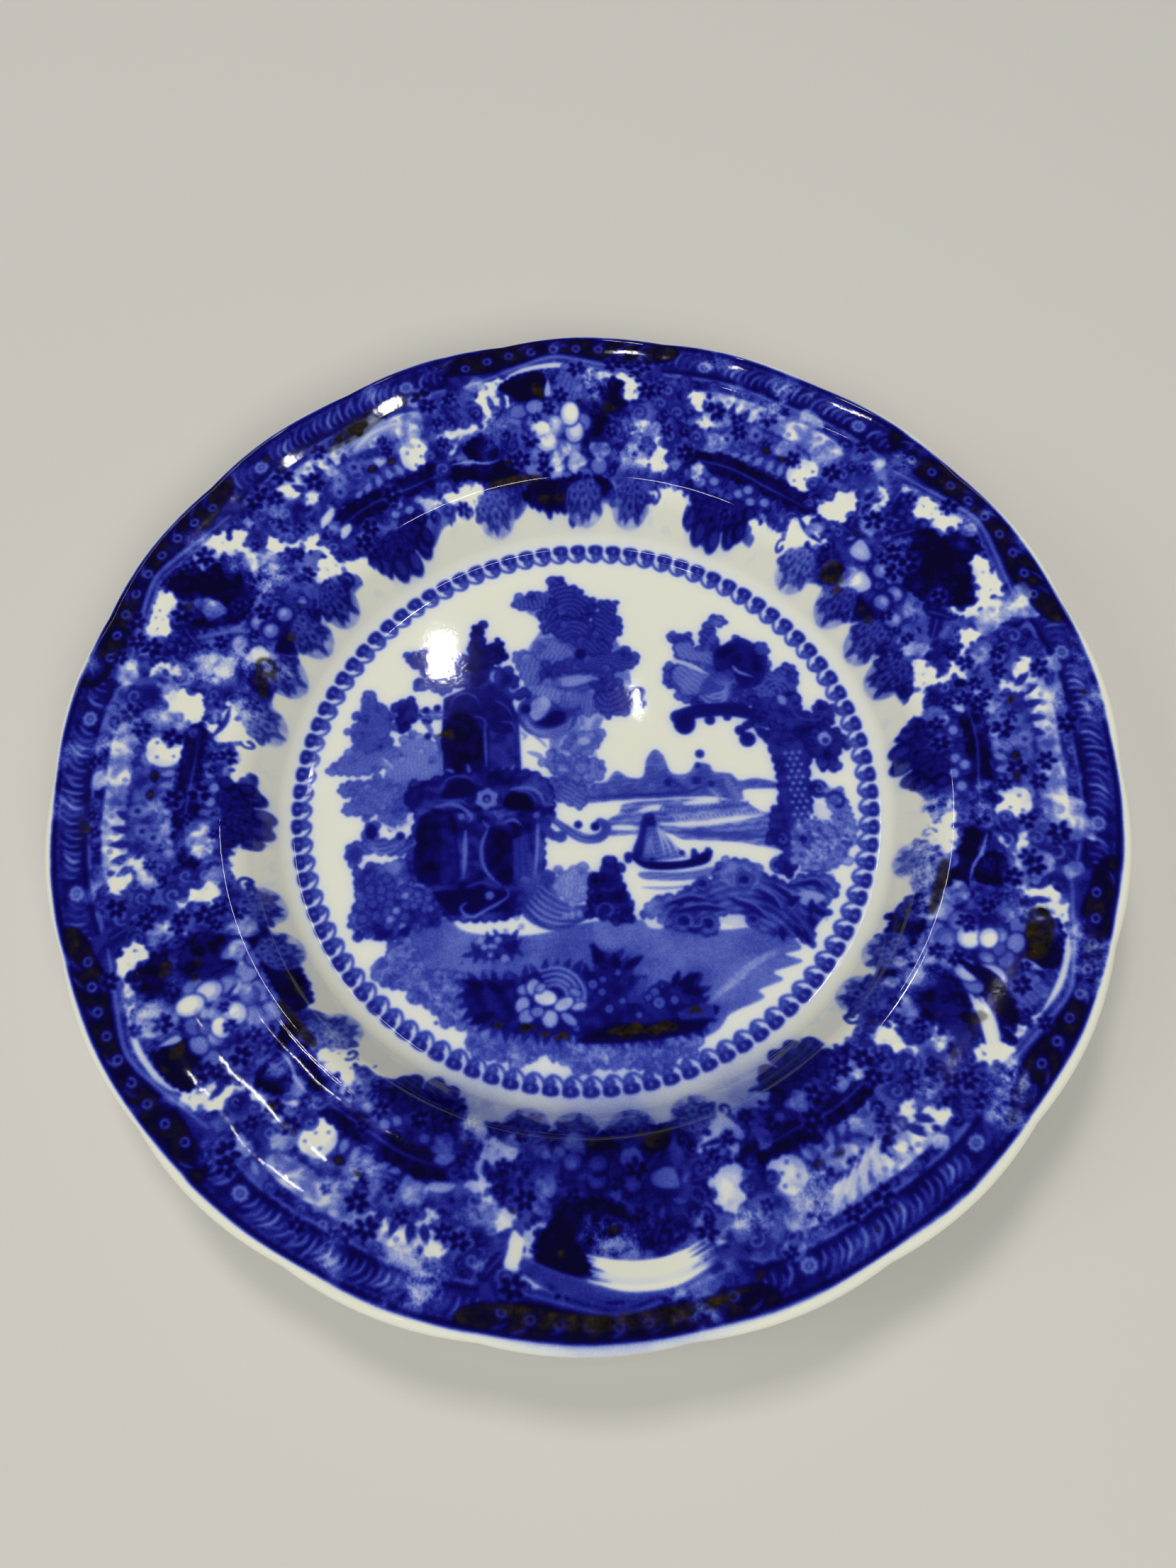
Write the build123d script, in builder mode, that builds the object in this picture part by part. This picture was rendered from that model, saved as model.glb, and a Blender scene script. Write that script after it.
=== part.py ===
"""China dinner plate with a scalloped rim and a transfer print under its glaze.

Millimetres. +Z is up, the origin is on the table under the plate's centre, and +Y is the top of
the printed scene. A plate is one fired piece, so its sub-parts are the layers that it is built up
from: the biscuit body, three films of printed ink on its face, the glaze that wraps the plate
round its lip, and the glaze inside the foot ring, which the ring's bare edge cuts off from the
rest. Ink and glaze are a few times thicker than life, so that each of them is a sound solid.
"""

import os
from math import cos, radians, sin, tan

from build123d import *

# Rim, seen from above.
RIM_RADIUS = 124.0          # halfway between crests and dips
SCALLOP_HEIGHT = 0.9        # radial distance from a dip to a crest
SCALLOP_COUNT = 18
SCALLOP_PHASE = 6.5         # degrees from +X to the first crest
DIP_ROUNDING = 8.0          # plan radius that softens each dip

# Face, from the centre out.
FLOOR_TOP = 5.2             # height of the well's floor above the table
FLOOR_RADIUS = 69.5
COVE_RADIUS = 7.5           # hollow turn from floor to wall
WALL_SLOPE = 52.0           # degrees
WALL_RUN = 4.6              # radial width of the straight wall
SHOULDER_RADIUS = 13.0      # rounded turn from wall to border
BORDER_SLOPE = 12.0         # degrees

# Lip and underside. Each UNDER point is a radius and a height.
RIM_THICKNESS = 3.4         # measured straight down at the lip
LIP_TOP_ROUND = 1.5
LIP_UNDER_ROUND = 1.2
UNDER_BORDER = (84.9, 14.7) # where the underside turns from border to wall
UNDER_WALL = (75.4, 2.4)    # and from wall to the shelf beside the foot ring
UNDER_BORDER_ROUND = 11.0
UNDER_WALL_ROUND = 3.0

# Foot ring.
FOOT_INNER = 68.2           # standing edge, inside
FOOT_OUTER = 71.2           # standing edge, outside
FOOT_INNER_DRAFT = 1.0      # how far each side of the ring leans out as it rises
FOOT_OUTER_DRAFT = 1.4
FOOT_RECESS = 1.6           # depth of the recess inside the ring
FOOT_RISE = 1.9             # height of the ring's outer side
FOOT_CORNER = 1.2           # rounding where the ring meets the underside
FOOT_EDGE_ROUND = 0.7
BARE_EDGE = 0.9             # height of the wiped edge, which carries no glaze
UNDERSIDE_ROUNDS = [        # roundings of the underside's corners, from the rim inwards
    UNDER_BORDER_ROUND, UNDER_WALL_ROUND, FOOT_CORNER, FOOT_EDGE_ROUND, FOOT_EDGE_ROUND, FOOT_CORNER
]

# Layers.
GLAZE = 0.5
INK = 0.2
CENTRE_PRINT = (0.0, 65.0)  # inner and outer radius of each film
BEAD_RING = (67.4, 72.2)
BORDER_PRINT = (74.0, 121.0)

PAST_AXIS = 8.0             # the half section runs this far past the axis until it is trimmed,
PAST_RIM = 6.0              # and this far past the rim
TALL = 60.0                 # anything taller than the plate
WIDE = 300.0                # anything wider


def plate_section():
    """Half section of the glazed plate, running a little past its axis and its rim."""
    wall = radians(WALL_SLOPE)
    border = radians(BORDER_SLOPE)
    end_radius = RIM_RADIUS + PAST_RIM
    with BuildSketch(Plane.XZ) as section:
        with BuildLine():
            floor = Line((-PAST_AXIS, FLOOR_TOP), (FLOOR_RADIUS, FLOOR_TOP))
            cove = JernArc(floor @ 1, (1, 0), COVE_RADIUS, WALL_SLOPE)
            straight = Line(cove @ 1, cove @ 1 + Vector(WALL_RUN, WALL_RUN * tan(wall)))
            turn = BORDER_SLOPE - WALL_SLOPE
            shoulder = JernArc(straight @ 1, (cos(wall), sin(wall)), SHOULDER_RADIUS, turn)
            start = shoulder @ 1
            end_height = start.Y + (end_radius - start.X) * tan(border)
            Line(start, (end_radius, end_height))
            Line((end_radius, end_height), (end_radius, end_height - RIM_THICKNESS))
            underside = FilletPolyline(
                (end_radius, end_height - RIM_THICKNESS),
                UNDER_BORDER,
                UNDER_WALL,
                (FOOT_OUTER + FOOT_OUTER_DRAFT, FOOT_RISE),
                (FOOT_OUTER, 0),
                (FOOT_INNER, 0),
                (FOOT_INNER - FOOT_INNER_DRAFT, FOOT_RECESS),
                (-PAST_AXIS, FOOT_RECESS),
                radius=UNDERSIDE_ROUNDS,
            )
            Line(underside @ 1, floor @ 0)
        make_face()
    return section.sketch


def rim_outline(inset):
    """Plan of the rim, moved inwards by inset: one arc to each scallop, with softened dips."""
    dip = RIM_RADIUS - SCALLOP_HEIGHT / 2 - inset
    crest = RIM_RADIUS + SCALLOP_HEIGHT / 2 - inset
    step = 360 / SCALLOP_COUNT
    with BuildSketch() as outline:
        with BuildLine():
            for number in range(SCALLOP_COUNT):
                middle = SCALLOP_PHASE + number * step
                polar = [(dip, middle - step / 2), (crest, middle), (dip, middle + step / 2)]
                ThreePointArc(*[(r * cos(radians(a)), r * sin(radians(a))) for r, a in polar])
        make_face()
        fillet(outline.vertices(), DIP_ROUNDING + inset)
    return outline.sketch


def upright_rim_edges(plate, end):
    """Edges of the upright rim faces: their lowest for end 0 and their highest for end -1."""
    upright = [face for face in plate.faces() if abs(face.normal_at().Z) < 0.001]
    rim = [face for face in upright if face.bounding_box().min.Z > FLOOR_TOP]
    return [face.edges().sort_by(Axis.Z)[end] for face in rim]


def turned_plate(inset):
    """The plate as one solid, with every surface moved inwards by inset."""
    with BuildPart() as plate:
        with BuildSketch(Plane.XZ):
            add(SECTION)
            if inset:
                offset(amount=-inset)
            with Locations((WIDE / 2, 0)):
                Rectangle(WIDE, TALL * 2, mode=Mode.INTERSECT)
        revolve(axis=Axis.Z)
        with BuildSketch():
            add(rim_outline(inset))
        extrude(amount=TALL, mode=Mode.INTERSECT)
        fillet(upright_rim_edges(plate, -1), LIP_TOP_ROUND - inset)
        fillet(upright_rim_edges(plate, 0), LIP_UNDER_ROUND - inset)
    return plate.part


def ink_section(inner, outer):
    """Section of an ink film on the body's face, between two radii."""
    with BuildSketch(Plane.XZ) as body:
        add(SECTION)
        offset(amount=-GLAZE)
    with BuildSketch(Plane.XZ) as film:
        add(SECTION)
        offset(amount=INK - GLAZE)
        add(body.sketch, mode=Mode.SUBTRACT)
        with Locations(((inner + outer) / 2, 0)):
            Rectangle(outer - inner, TALL * 2, mode=Mode.INTERSECT)
    return film.sketch.faces().sort_by(Axis.Z)[-1]


SECTION = plate_section()
GLAZED_PLATE = turned_plate(0)
BISCUIT_PLATE = turned_plate(GLAZE)

os.makedirs("parts", exist_ok=True)

# Biscuit body: fired earthenware, bare only along the foot ring's standing edge.
with BuildPart() as biscuit_body:
    add(BISCUIT_PLATE)
    with BuildSketch(Plane.XZ):
        add(SECTION)
        with Locations((WIDE / 2, BARE_EDGE / 2)):
            Rectangle(WIDE, BARE_EDGE, mode=Mode.INTERSECT)
    revolve(axis=Axis.Z)
biscuit_body.part.label = "biscuit_body"
export_step(biscuit_body.part, "parts/biscuit_body.step")

# Printed ink, one film for each transfer: the scene, the ring of beads and the border.
with BuildPart() as centre_scene_print:
    add(ink_section(*CENTRE_PRINT))
    revolve(axis=Axis.Z)
centre_scene_print.part.label = "centre_scene_print"
export_step(centre_scene_print.part, "parts/centre_scene_print.step")

with BuildPart() as bead_ring_print:
    add(ink_section(*BEAD_RING))
    revolve(axis=Axis.Z)
bead_ring_print.part.label = "bead_ring_print"
export_step(bead_ring_print.part, "parts/bead_ring_print.step")

with BuildPart() as border_print:
    add(ink_section(*BORDER_PRINT))
    revolve(axis=Axis.Z)
border_print.part.label = "border_print"
export_step(border_print.part, "parts/border_print.step")

# Glaze: the finished plate less everything beneath it. The bare foot edge parts it in two.
with BuildPart() as all_glaze:
    add(GLAZED_PLATE)
    add(biscuit_body.part, mode=Mode.SUBTRACT)
    add(centre_scene_print.part, mode=Mode.SUBTRACT)
    add(bead_ring_print.part, mode=Mode.SUBTRACT)
    add(border_print.part, mode=Mode.SUBTRACT)
FOOT_GLAZE, OUTER_GLAZE = all_glaze.solids().sort_by(SortBy.VOLUME)

with BuildPart() as glaze_coat:
    add(OUTER_GLAZE)
glaze_coat.part.label = "glaze_coat"
export_step(glaze_coat.part, "parts/glaze_coat.step")

with BuildPart() as foot_well_glaze:
    add(FOOT_GLAZE)
foot_well_glaze.part.label = "foot_well_glaze"
export_step(foot_well_glaze.part, "parts/foot_well_glaze.step")
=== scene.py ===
"""Looks of the scalloped transfer-printed dinner plate.

The face and the back are thin closed layers of glaze that follow the CAD plate's section. The
printed pattern is drawn motif by motif, in millimetres on the face seen from above (+X right, +Y
the top of the scene), as a sheet of ink density. The sheet is softened, as the cobalt ran a little
in the kiln, and the face's own vertices carry it.
"""

import math

import bpy
import numpy as np
from mathutils import Matrix, Vector


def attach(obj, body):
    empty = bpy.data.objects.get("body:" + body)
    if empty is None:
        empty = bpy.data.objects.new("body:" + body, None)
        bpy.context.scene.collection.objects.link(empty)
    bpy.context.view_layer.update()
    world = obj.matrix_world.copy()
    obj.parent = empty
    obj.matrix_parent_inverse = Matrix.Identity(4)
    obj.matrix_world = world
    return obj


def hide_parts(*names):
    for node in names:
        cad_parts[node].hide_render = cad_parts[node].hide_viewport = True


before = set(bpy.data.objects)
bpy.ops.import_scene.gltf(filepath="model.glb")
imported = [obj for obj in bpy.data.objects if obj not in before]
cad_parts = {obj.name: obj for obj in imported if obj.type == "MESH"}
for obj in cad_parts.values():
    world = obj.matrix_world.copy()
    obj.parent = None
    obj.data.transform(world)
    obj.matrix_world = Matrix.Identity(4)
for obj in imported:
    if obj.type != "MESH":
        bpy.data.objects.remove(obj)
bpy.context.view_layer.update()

MM = 0.001

# ---------------------------------------------------------------------------------------------
# The sheets of ink and of scorching, and how a shape is laid on them
# ---------------------------------------------------------------------------------------------

CELLS = 6                   # cells of a sheet to a millimetre
REACH = 126.0               # half a sheet's width
SIDE = int(2 * REACH * CELLS)
FINE = 2                    # a shape's edge is judged on cells this many times finer

ink = np.zeros((SIDE, SIDE), np.float32)        # 0 is bare glaze, 1 the darkest cobalt
scorch = np.zeros((SIDE, SIDE), np.float32)     # 1 is ink burnt brown
random = np.random.default_rng(7)
leaves = np.random.default_rng(8)


def soften(sheet, radius):
    """The sheet blurred by a Gaussian of that radius in millimetres."""
    reach = int(math.ceil(3 * radius * CELLS))
    weights = np.exp(-0.5 * (np.arange(-reach, reach + 1) / (radius * CELLS)) ** 2)
    weights = (weights / weights.sum()).astype(np.float32)
    for axis in (0, 1):
        padding = [(0, 0), (0, 0)]
        padding[axis] = (reach, reach)
        padded = np.pad(sheet, padding, mode="edge")
        sheet = sum(w * padded.take(range(start, start + SIDE), axis) for start, w in enumerate(weights))
    return sheet


def grained(radius):
    """Smooth seeded noise of spread one, with lumps of that radius in millimetres."""
    noise = soften(random.standard_normal((SIDE, SIDE)).astype(np.float32), radius)
    return noise / noise.std()


SPECKLE = grained(0.16)
MOTTLE = grained(0.7)
CLOUD = grained(3.0)


class Flat:
    """Shapes are given in plate millimetres."""

    @staticmethod
    def onto(points):
        return points

    @staticmethod
    def back(x, y):
        return x, y


class Border:
    """Shapes are given along the border: millimetres clockwise at radius 100, and radius."""

    def __init__(self, centre):
        self.centre = math.radians(centre)

    def onto(self, points):
        angle = self.centre - points[:, 0] / 100
        x, y = BORDER_X + points[:, 1] * np.cos(angle), BORDER_Y + points[:, 1] * np.sin(angle)
        return np.stack([x, y], 1)

    def back(self, x, y):
        x, y = x - BORDER_X, y - BORDER_Y
        turn = (self.centre - np.arctan2(y, x) + math.pi) % (2 * math.pi) - math.pi
        return turn * 100, np.hypot(x, y)


BORDER_X, BORDER_Y = -0.38, 0.75    # the border transfer sits a little off centre
frame_of = [Flat]                   # the frame that shapes are given in just now


def covered(points):
    """The block of cells round a closed outline, and how much of each cell lies inside it."""
    cells = (frame_of[0].onto(np.asarray(points, float)) + REACH) * CELLS
    low = np.clip(np.floor(cells.min(0)).astype(int) - 1, 0, SIDE)
    high = np.clip(np.ceil(cells.max(0)).astype(int) + 1, 0, SIDE)
    wide, tall = (high - low) * FINE
    if wide <= 0 or tall <= 0:
        return None
    start = (cells - low) * FINE
    end = np.roll(start, -1, 0)
    first = np.clip(np.ceil(np.minimum(start[:, 1], end[:, 1]) - 0.5).astype(int), 0, tall)
    last = np.clip(np.ceil(np.maximum(start[:, 1], end[:, 1]) - 0.5).astype(int), 0, tall)
    count = last - first
    edge = np.repeat(np.arange(len(start)), count)
    row = np.arange(count.sum()) - np.repeat(np.cumsum(count) - count, count) + first[edge]
    share = (row + 0.5 - start[edge, 1]) / (end - start)[edge, 1]
    across = start[edge, 0] + share * (end - start)[edge, 0]
    column = np.clip(np.ceil(across - 0.5).astype(int), 0, wide)
    winding = np.zeros((tall, wide + 1), np.int32)
    np.add.at(winding, (row, column), np.where((end - start)[edge, 1] > 0, 1, -1))
    inside = np.cumsum(winding, 1)[:, :wide] != 0
    share = inside.reshape(tall // FINE, FINE, wide // FINE, FINE).mean((1, 3))
    return slice(low[1], high[1]), slice(low[0], high[0]), share


def fill(points, tone, grain=None, strength=1.0, sheet=None):
    """Lays one tone, with a grain over it, inside a closed outline."""
    sheet = ink if sheet is None else sheet
    block = covered(points)
    if block is None:
        return
    rows, columns, share = block
    value = tone
    if grain is not None:
        y, x = np.mgrid[rows, columns]
        x, y = (x + 0.5) / CELLS - REACH, (y + 0.5) / CELLS - REACH
        value = tone + grain(*frame_of[0].back(x, y))
    sheet[rows, columns] += (value - sheet[rows, columns]) * share * strength


def hatch(angle, pitch, depth, bend=0.0):
    """A grain of engraved lines: their angle in degrees, pitch, depth of tone, and curvature."""
    c, s = math.cos(math.radians(angle)), math.sin(math.radians(angle))

    def grain(x, y):
        along, across = x * c + y * s, y * c - x * s
        phase = (across + bend * along * along) / pitch + 0.12 * np.sin(along * 1.7 + across)
        return depth * np.sin(2 * np.pi * phase)
    return grain


def ripple(cx, cy, pitch, depth):
    """A grain of arcs round a point."""
    def grain(x, y):
        away, turn = np.hypot(x - cx, y - cy), np.arctan2(y - cy, x - cx)
        return depth * np.sin(2 * np.pi * away / pitch + 0.9 * np.sin(4 * turn))
    return grain


def grit(dots, mottle=0.0, cloud=0.0):
    """A grain of fine dots, of mottling, and of clouds, each with its own depth of tone."""
    parts = [(dots, SPECKLE), (mottle, MOTTLE), (cloud, CLOUD)]

    def grain(x, y):
        rows, columns = (y * CELLS).astype(int) % SIDE, (x * CELLS).astype(int) % SIDE
        return sum(depth * np.tanh(noise[rows, columns]) for depth, noise in parts if depth)
    return grain


def both(first, second):
    return lambda x, y: first(x, y) + second(x, y)


# ---------------------------------------------------------------------------------------------
# Lines and outlines
# ---------------------------------------------------------------------------------------------

def smooth(points, closed=True, steps=6):
    """A Catmull-Rom curve through the points."""
    p = np.asarray(points, float)
    if closed:
        p = np.vstack([p[-1], p, p[:2]])
    else:
        p = np.vstack([2 * p[0] - p[1], p, 2 * p[-1] - p[-2]])
    t = (np.arange(steps) / steps)[:, None, None]
    a, b, c, d = p[:-3], p[1:-2], p[2:-1], p[3:]
    square, cube = 2 * a - 5 * b + 4 * c - d, 3 * b - a - 3 * c + d
    curve = 0.5 * (2 * b + (c - a) * t + square * t ** 2 + cube * t ** 3)
    curve = curve.transpose(1, 0, 2).reshape(-1, 2)
    return curve if closed else np.vstack([curve, p[-2]])


def outward(curve):
    """Unit normals of a closed curve, pointing out of it."""
    along = np.roll(curve, -1, 0) - np.roll(curve, 1, 0)
    normal = np.stack([along[:, 1], -along[:, 0]], 1)
    normal /= np.maximum(np.hypot(*normal.T), 1e-9)[:, None]
    area = np.sum(curve[:, 0] * np.roll(curve[:, 1], -1) - curve[:, 1] * np.roll(curve[:, 0], -1))
    return normal if area > 0 else -normal


def even(curve, spacing):
    """The closed curve again, with points about that far apart."""
    ring = np.vstack([curve, curve[:1]])
    along = np.concatenate([[0], np.cumsum(np.hypot(*np.diff(ring, axis=0).T))])
    spots = np.linspace(0, along[-1], max(int(along[-1] / spacing), 8), endpoint=False)
    return np.stack([np.interp(spots, along, ring[:, 0]), np.interp(spots, along, ring[:, 1])], 1)


def scalloped(points, bump, height):
    """A closed outline whose edge is a row of round leaf-like bumps."""
    spacing = 0.25
    curve = even(smooth(points), spacing)
    along = np.arange(len(curve)) * spacing
    bumps = max(round(along[-1] / bump), 3)
    phase = along / along[-1] * bumps * math.pi
    swell = np.abs(np.sin(phase + 0.5 * np.sin(phase * 0.37)))
    return curve + outward(curve) * (height * (swell - 0.35))[:, None]


def shrunk(curve, inset):
    return curve - outward(curve) * inset


def within(curve, x, y):
    """Whether each point lies inside a closed curve."""
    x0, y0 = curve[:, :1], curve[:, 1:]
    x1, y1 = np.roll(x0, -1, 0), np.roll(y0, -1, 0)
    rising = (y0 <= y) != (y1 <= y)
    with np.errstate(divide="ignore", invalid="ignore"):
        across = x0 + (y - y0) / (y1 - y0) * (x1 - x0)
    return (rising & (across > x)).sum(0) % 2 == 1


def placed(x, y, angle, along, across):
    """Points given along and across an angle in degrees, from (x, y)."""
    c, s = math.cos(math.radians(angle)), math.sin(math.radians(angle))
    return np.stack([x + along * c - across * s, y + along * s + across * c], 1)


def headed(curve, side=1):
    """Each point of a closed curve, with the heading in degrees that leads out of it, or in at -1."""
    return zip(curve, np.degrees(np.arctan2(*(side * outward(curve))[:, ::-1].T)))


def beyond(x, y, heading, reach):
    """The place that far from (x, y) along a heading in degrees."""
    return x + reach * math.cos(math.radians(heading)), y + reach * math.sin(math.radians(heading))


# ---------------------------------------------------------------------------------------------
# Marks
# ---------------------------------------------------------------------------------------------

def blob(points, tone, grain=None, strength=1.0, sheet=None):
    """A shape whose smooth edge runs through the points."""
    fill(smooth(points), tone, grain, strength, sheet)


def dab(x, y, radius, tone, squash=1.0, angle=0.0, grain=None):
    """A round or oval spot."""
    turn = np.linspace(0, 2 * math.pi, 20, endpoint=False)
    fill(placed(x, y, angle, radius * np.cos(turn), radius * squash * np.sin(turn)), tone, grain)


def dabs(places, tone):
    """Round spots of one tone, each given by its place and radius."""
    for x, y, radius in places:
        dab(x, y, radius, tone)


def stroke(points, width, tone, ends=(0.5, 0.2), steps=6):
    """A brush line through the points, full width in its middle and tapering to each end."""
    line = smooth(points, False, steps)
    along = np.gradient(line, axis=0)
    along /= np.maximum(np.hypot(*along.T), 1e-9)[:, None]
    side = np.stack([-along[:, 1], along[:, 0]], 1)
    shape = np.interp(np.linspace(0, 1, len(line)), [0, 0.25, 0.7, 1], [ends[0], 1, 1, ends[1]])
    half = (shape * width / 2)[:, None]
    fill(np.vstack([line + side * half, (line - side * half)[::-1]]), tone)
    for spot, size in ((line[0], half[0, 0]), (line[-1], half[-1, 0])):
        if size * CELLS > 0.6:
            dab(*spot, size, tone)


def curl(x, y, start_radius, end_radius, start, end, width, tone, ends=(0.7, 1.3)):
    """A stroke that winds about (x, y) from one direction in degrees to another."""
    steps = max(int(abs(end - start) / 24), 4)
    turn = np.radians(np.linspace(start, end, steps))
    radius = np.linspace(start_radius, end_radius, steps)
    stroke(np.stack([x + radius * np.cos(turn), y + radius * np.sin(turn)], 1), width, tone, ends, 3)


def blade(x, y, heading, length, half, tone, strength=1.0):
    """A shape from (x, y) along a heading, with the same half widths on both its sides."""
    along = length * np.linspace(0, 1, len(half))
    along, across = np.concatenate([along, along[::-1]]), np.concatenate([half, -half[::-1]])
    fill(placed(x, y, heading, along, across), tone, None, strength)


def petal(x, y, heading, length, width, tone, strength=1.0):
    """A petal or rounded leaf, narrow at (x, y) and rounded at its far end."""
    half = width / 2 * np.sin(np.pi * np.linspace(0, 1, 9) ** 1.35) ** 0.75
    half[0] = half[-1] = 0
    blade(x, y, heading, length, half, tone, strength)


def leaf(x, y, heading, length, width, tone, vein=None, teeth=0):
    """A pointed leaf from its stalk at (x, y), with teeth along its edge and a pale vein."""
    t = np.linspace(0, 1, 25 if teeth else 11)
    half = width / 2 * np.sin(np.pi * t ** 0.85)
    if teeth:
        half = half * (1 - 0.35 * np.abs(np.sin(np.pi * teeth * t)) ** 2)
    blade(x, y, heading, length, half, tone)
    if vein is not None:
        tip = beyond(x, y, heading, 0.85 * length)
        stroke([(x, y), ((x + tip[0]) / 2, (y + tip[1]) / 2), tip], width * 0.14, vein)


def flower(x, y, radius, petals, tone, middle, turn, edge=None, core=0.3):
    """An open flower of separate petals round its middle, each with an edge of another tone."""
    wide = 2 * math.pi * radius / petals * 0.8
    for number in range(petals):
        heading = turn + 360 * number / petals
        if edge is not None:
            petal(x, y, heading, radius * 1.08, wide * 1.25, edge)
        petal(x, y, heading, radius, wide, tone)
    dab(x, y, radius * core, middle)


def rose(x, y, radius, tone, shade, turn):
    """A full rose: rings of overlapping round petals, each with a darker line behind it."""
    for level, share in enumerate((1.0, 0.68, 0.38)):
        count = max(int(9 * share), 4)
        for number in range(count):
            heading = turn + 37 * level + 360 * number / count
            place, size = beyond(x, y, heading, radius * share * 0.68), radius * share * 0.46
            dab(*place, size * 1.14, shade, 0.85, heading + 90)
            dab(*place, size, tone, 0.8, heading + 90)
    dab(x, y, radius * 0.16, shade)


def berries(x, y, radius, count, size, tone, edge, seed):
    """A cluster of round berries or florets."""
    drawn = np.random.default_rng(seed)
    for number in range(count):
        away = radius * math.sqrt((number + 0.5) / count)
        turn = number * 2.4 + drawn.uniform(-0.3, 0.3)
        place = (x + away * math.cos(turn), y + away * math.sin(turn))
        dab(*place, size * 1.3, edge)
        dab(*place, size, tone)


def lobe(points, tone, grain=None, bump=2.6, height=0.7, rim=0.16, tufts=True):
    """A leafy mass: a scalloped outline with ink gathered along its edge, and tufts all over it."""
    curve = scalloped(points, bump, height)
    fill(curve, tone + rim, grit(0, 0.06))
    fill(shrunk(curve, 0.45), tone, grain or grit(0, 0.1))
    if tufts:
        leafy(shrunk(curve, 0.5), tone, bump)


def leafy(curve, tone, size):
    """Tufts over a mass, outer ones first: a lit lobe with engraved lines and the shade behind."""
    low, high = curve.min(0), curve.max(0)
    gap = size * 1.25
    x, y = np.meshgrid(np.arange(low[0], high[0], gap), np.arange(low[1], high[1], gap))
    x = (x + (np.arange(len(x)) % 2)[:, None] * gap / 2).ravel()
    x = x + leaves.uniform(-0.4, 0.4, x.size) * gap
    y = y.ravel() + leaves.uniform(-0.4, 0.4, x.size) * gap
    inside = within(curve, x, y)
    x, y = x[inside], y[inside]
    middle = curve.mean(0)
    for number in np.argsort(-np.hypot(x - middle[0], y - middle[1])):
        px, py = x[number], y[number]
        heading = math.degrees(math.atan2(py - middle[1], px - middle[0])) + leaves.uniform(-50, 50)
        reach = size * leaves.uniform(0.8, 1.25)
        lit = tone - leaves.uniform(0.02, 0.3)
        petal(px, py, heading, reach * 1.12, reach * 0.98, tone + 0.24)
        petal(px, py, heading, reach, reach * 0.82, lit, 0.8)
        for side in (-27, -9, 9, 27):
            leaf(px, py, heading + side, reach * 0.92, reach * 0.12, lit + 0.26)


def fringe(points, tone, length, spacing, seed):
    """A mass whose edge is a row of leaves that point outwards."""
    curve = even(smooth(points), spacing)
    drawn = np.random.default_rng(seed)
    fill(curve, tone, grit(0, 0.1))
    for (x, y), heading in headed(curve):
        size = length * drawn.uniform(0.7, 1.3)
        heading += drawn.uniform(-35, 35)
        start = beyond(x, y, heading, -0.6 * size)
        leaf(*start, heading, size * 1.5, size * 0.5, tone + drawn.uniform(-0.06, 0.12), tone - 0.28)


# ---------------------------------------------------------------------------------------------
# The border: two kinds of flower panel in turn, with a scrolled compartment between each two
# ---------------------------------------------------------------------------------------------

RIM_PRINT = 121.8           # outer edge of the border print, which waves with the scallops
SCALLOP_COUNT = 18
SCALLOP_PHASE = 6.5
ROUND = np.array([(math.cos(a), math.sin(a)) for a in np.arange(0, 2 * math.pi, math.pi / 4)])


def at(turn, radius):
    """A place given in degrees clockwise and radius, in the border's own frame."""
    return math.radians(turn) * 100, radius


def deg(outline):
    """Places of the border, each given in degrees clockwise and radius."""
    return [at(*place) for place in outline]


def patch(outline, tone, grain=None):
    """A smooth-edged patch of the border."""
    blob(deg(outline), tone, grain)


def burn(outline, share, grain=None, strength=1.0):
    """A brown patch on the sheet of scorching."""
    blob(deg(outline), share, grain, strength, scorch)


def mass(outline, tone, grain=None, bump=2.2):
    lobe(deg(outline), tone, grain, bump, 0.6, 0.14)


def line(points, width, tone, ends=(0.5, 0.3)):
    stroke(deg(points), width, tone, ends)


def spot(turn, radius, size, tone, squash=1.0):
    dab(*at(turn, radius), size, tone, squash)


def sprig(turn, radius, heading, length, width, tone, vein=None, teeth=0):
    leaf(*at(turn, radius), heading, length, width, tone, vein, teeth)


def scroll(turn, radius, size, tone, light=0.36, start=200, sweep=-330):
    """A round volute: a dark body with a light line winding into it."""
    x, y = at(turn, radius)
    dab(x, y, size, tone)
    curl(x, y, size * 0.78, size * 0.2, start, start + sweep, size * 0.24, light, (0.6, 1.2))


def border_ground():
    """The blue tangle that lies under the whole border, left white along its inner edge."""
    turn = np.radians(np.arange(0, 360, 1.0))
    ring = np.stack([np.cos(turn), np.sin(turn)], 1)
    inner = 80.5 + 1.2 * np.sin(24 * turn) + 0.9 * np.sin(39 * turn)
    rim = RIM_PRINT + 0.35 * np.cos(SCALLOP_COUNT * (turn - math.radians(SCALLOP_PHASE)))
    outer, hole = ring * rim[:, None], (ring * inner[:, None])[::-1]
    fill(np.vstack([outer, outer[:1], hole[-1:], hole]), 0.62, grit(0, 0.12, 0.1))
    for centre in (0, 120, 240):
        frame_of[0] = Border(centre)
        tangle(np.random.default_rng(12))
    frame_of[0] = Flat


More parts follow.
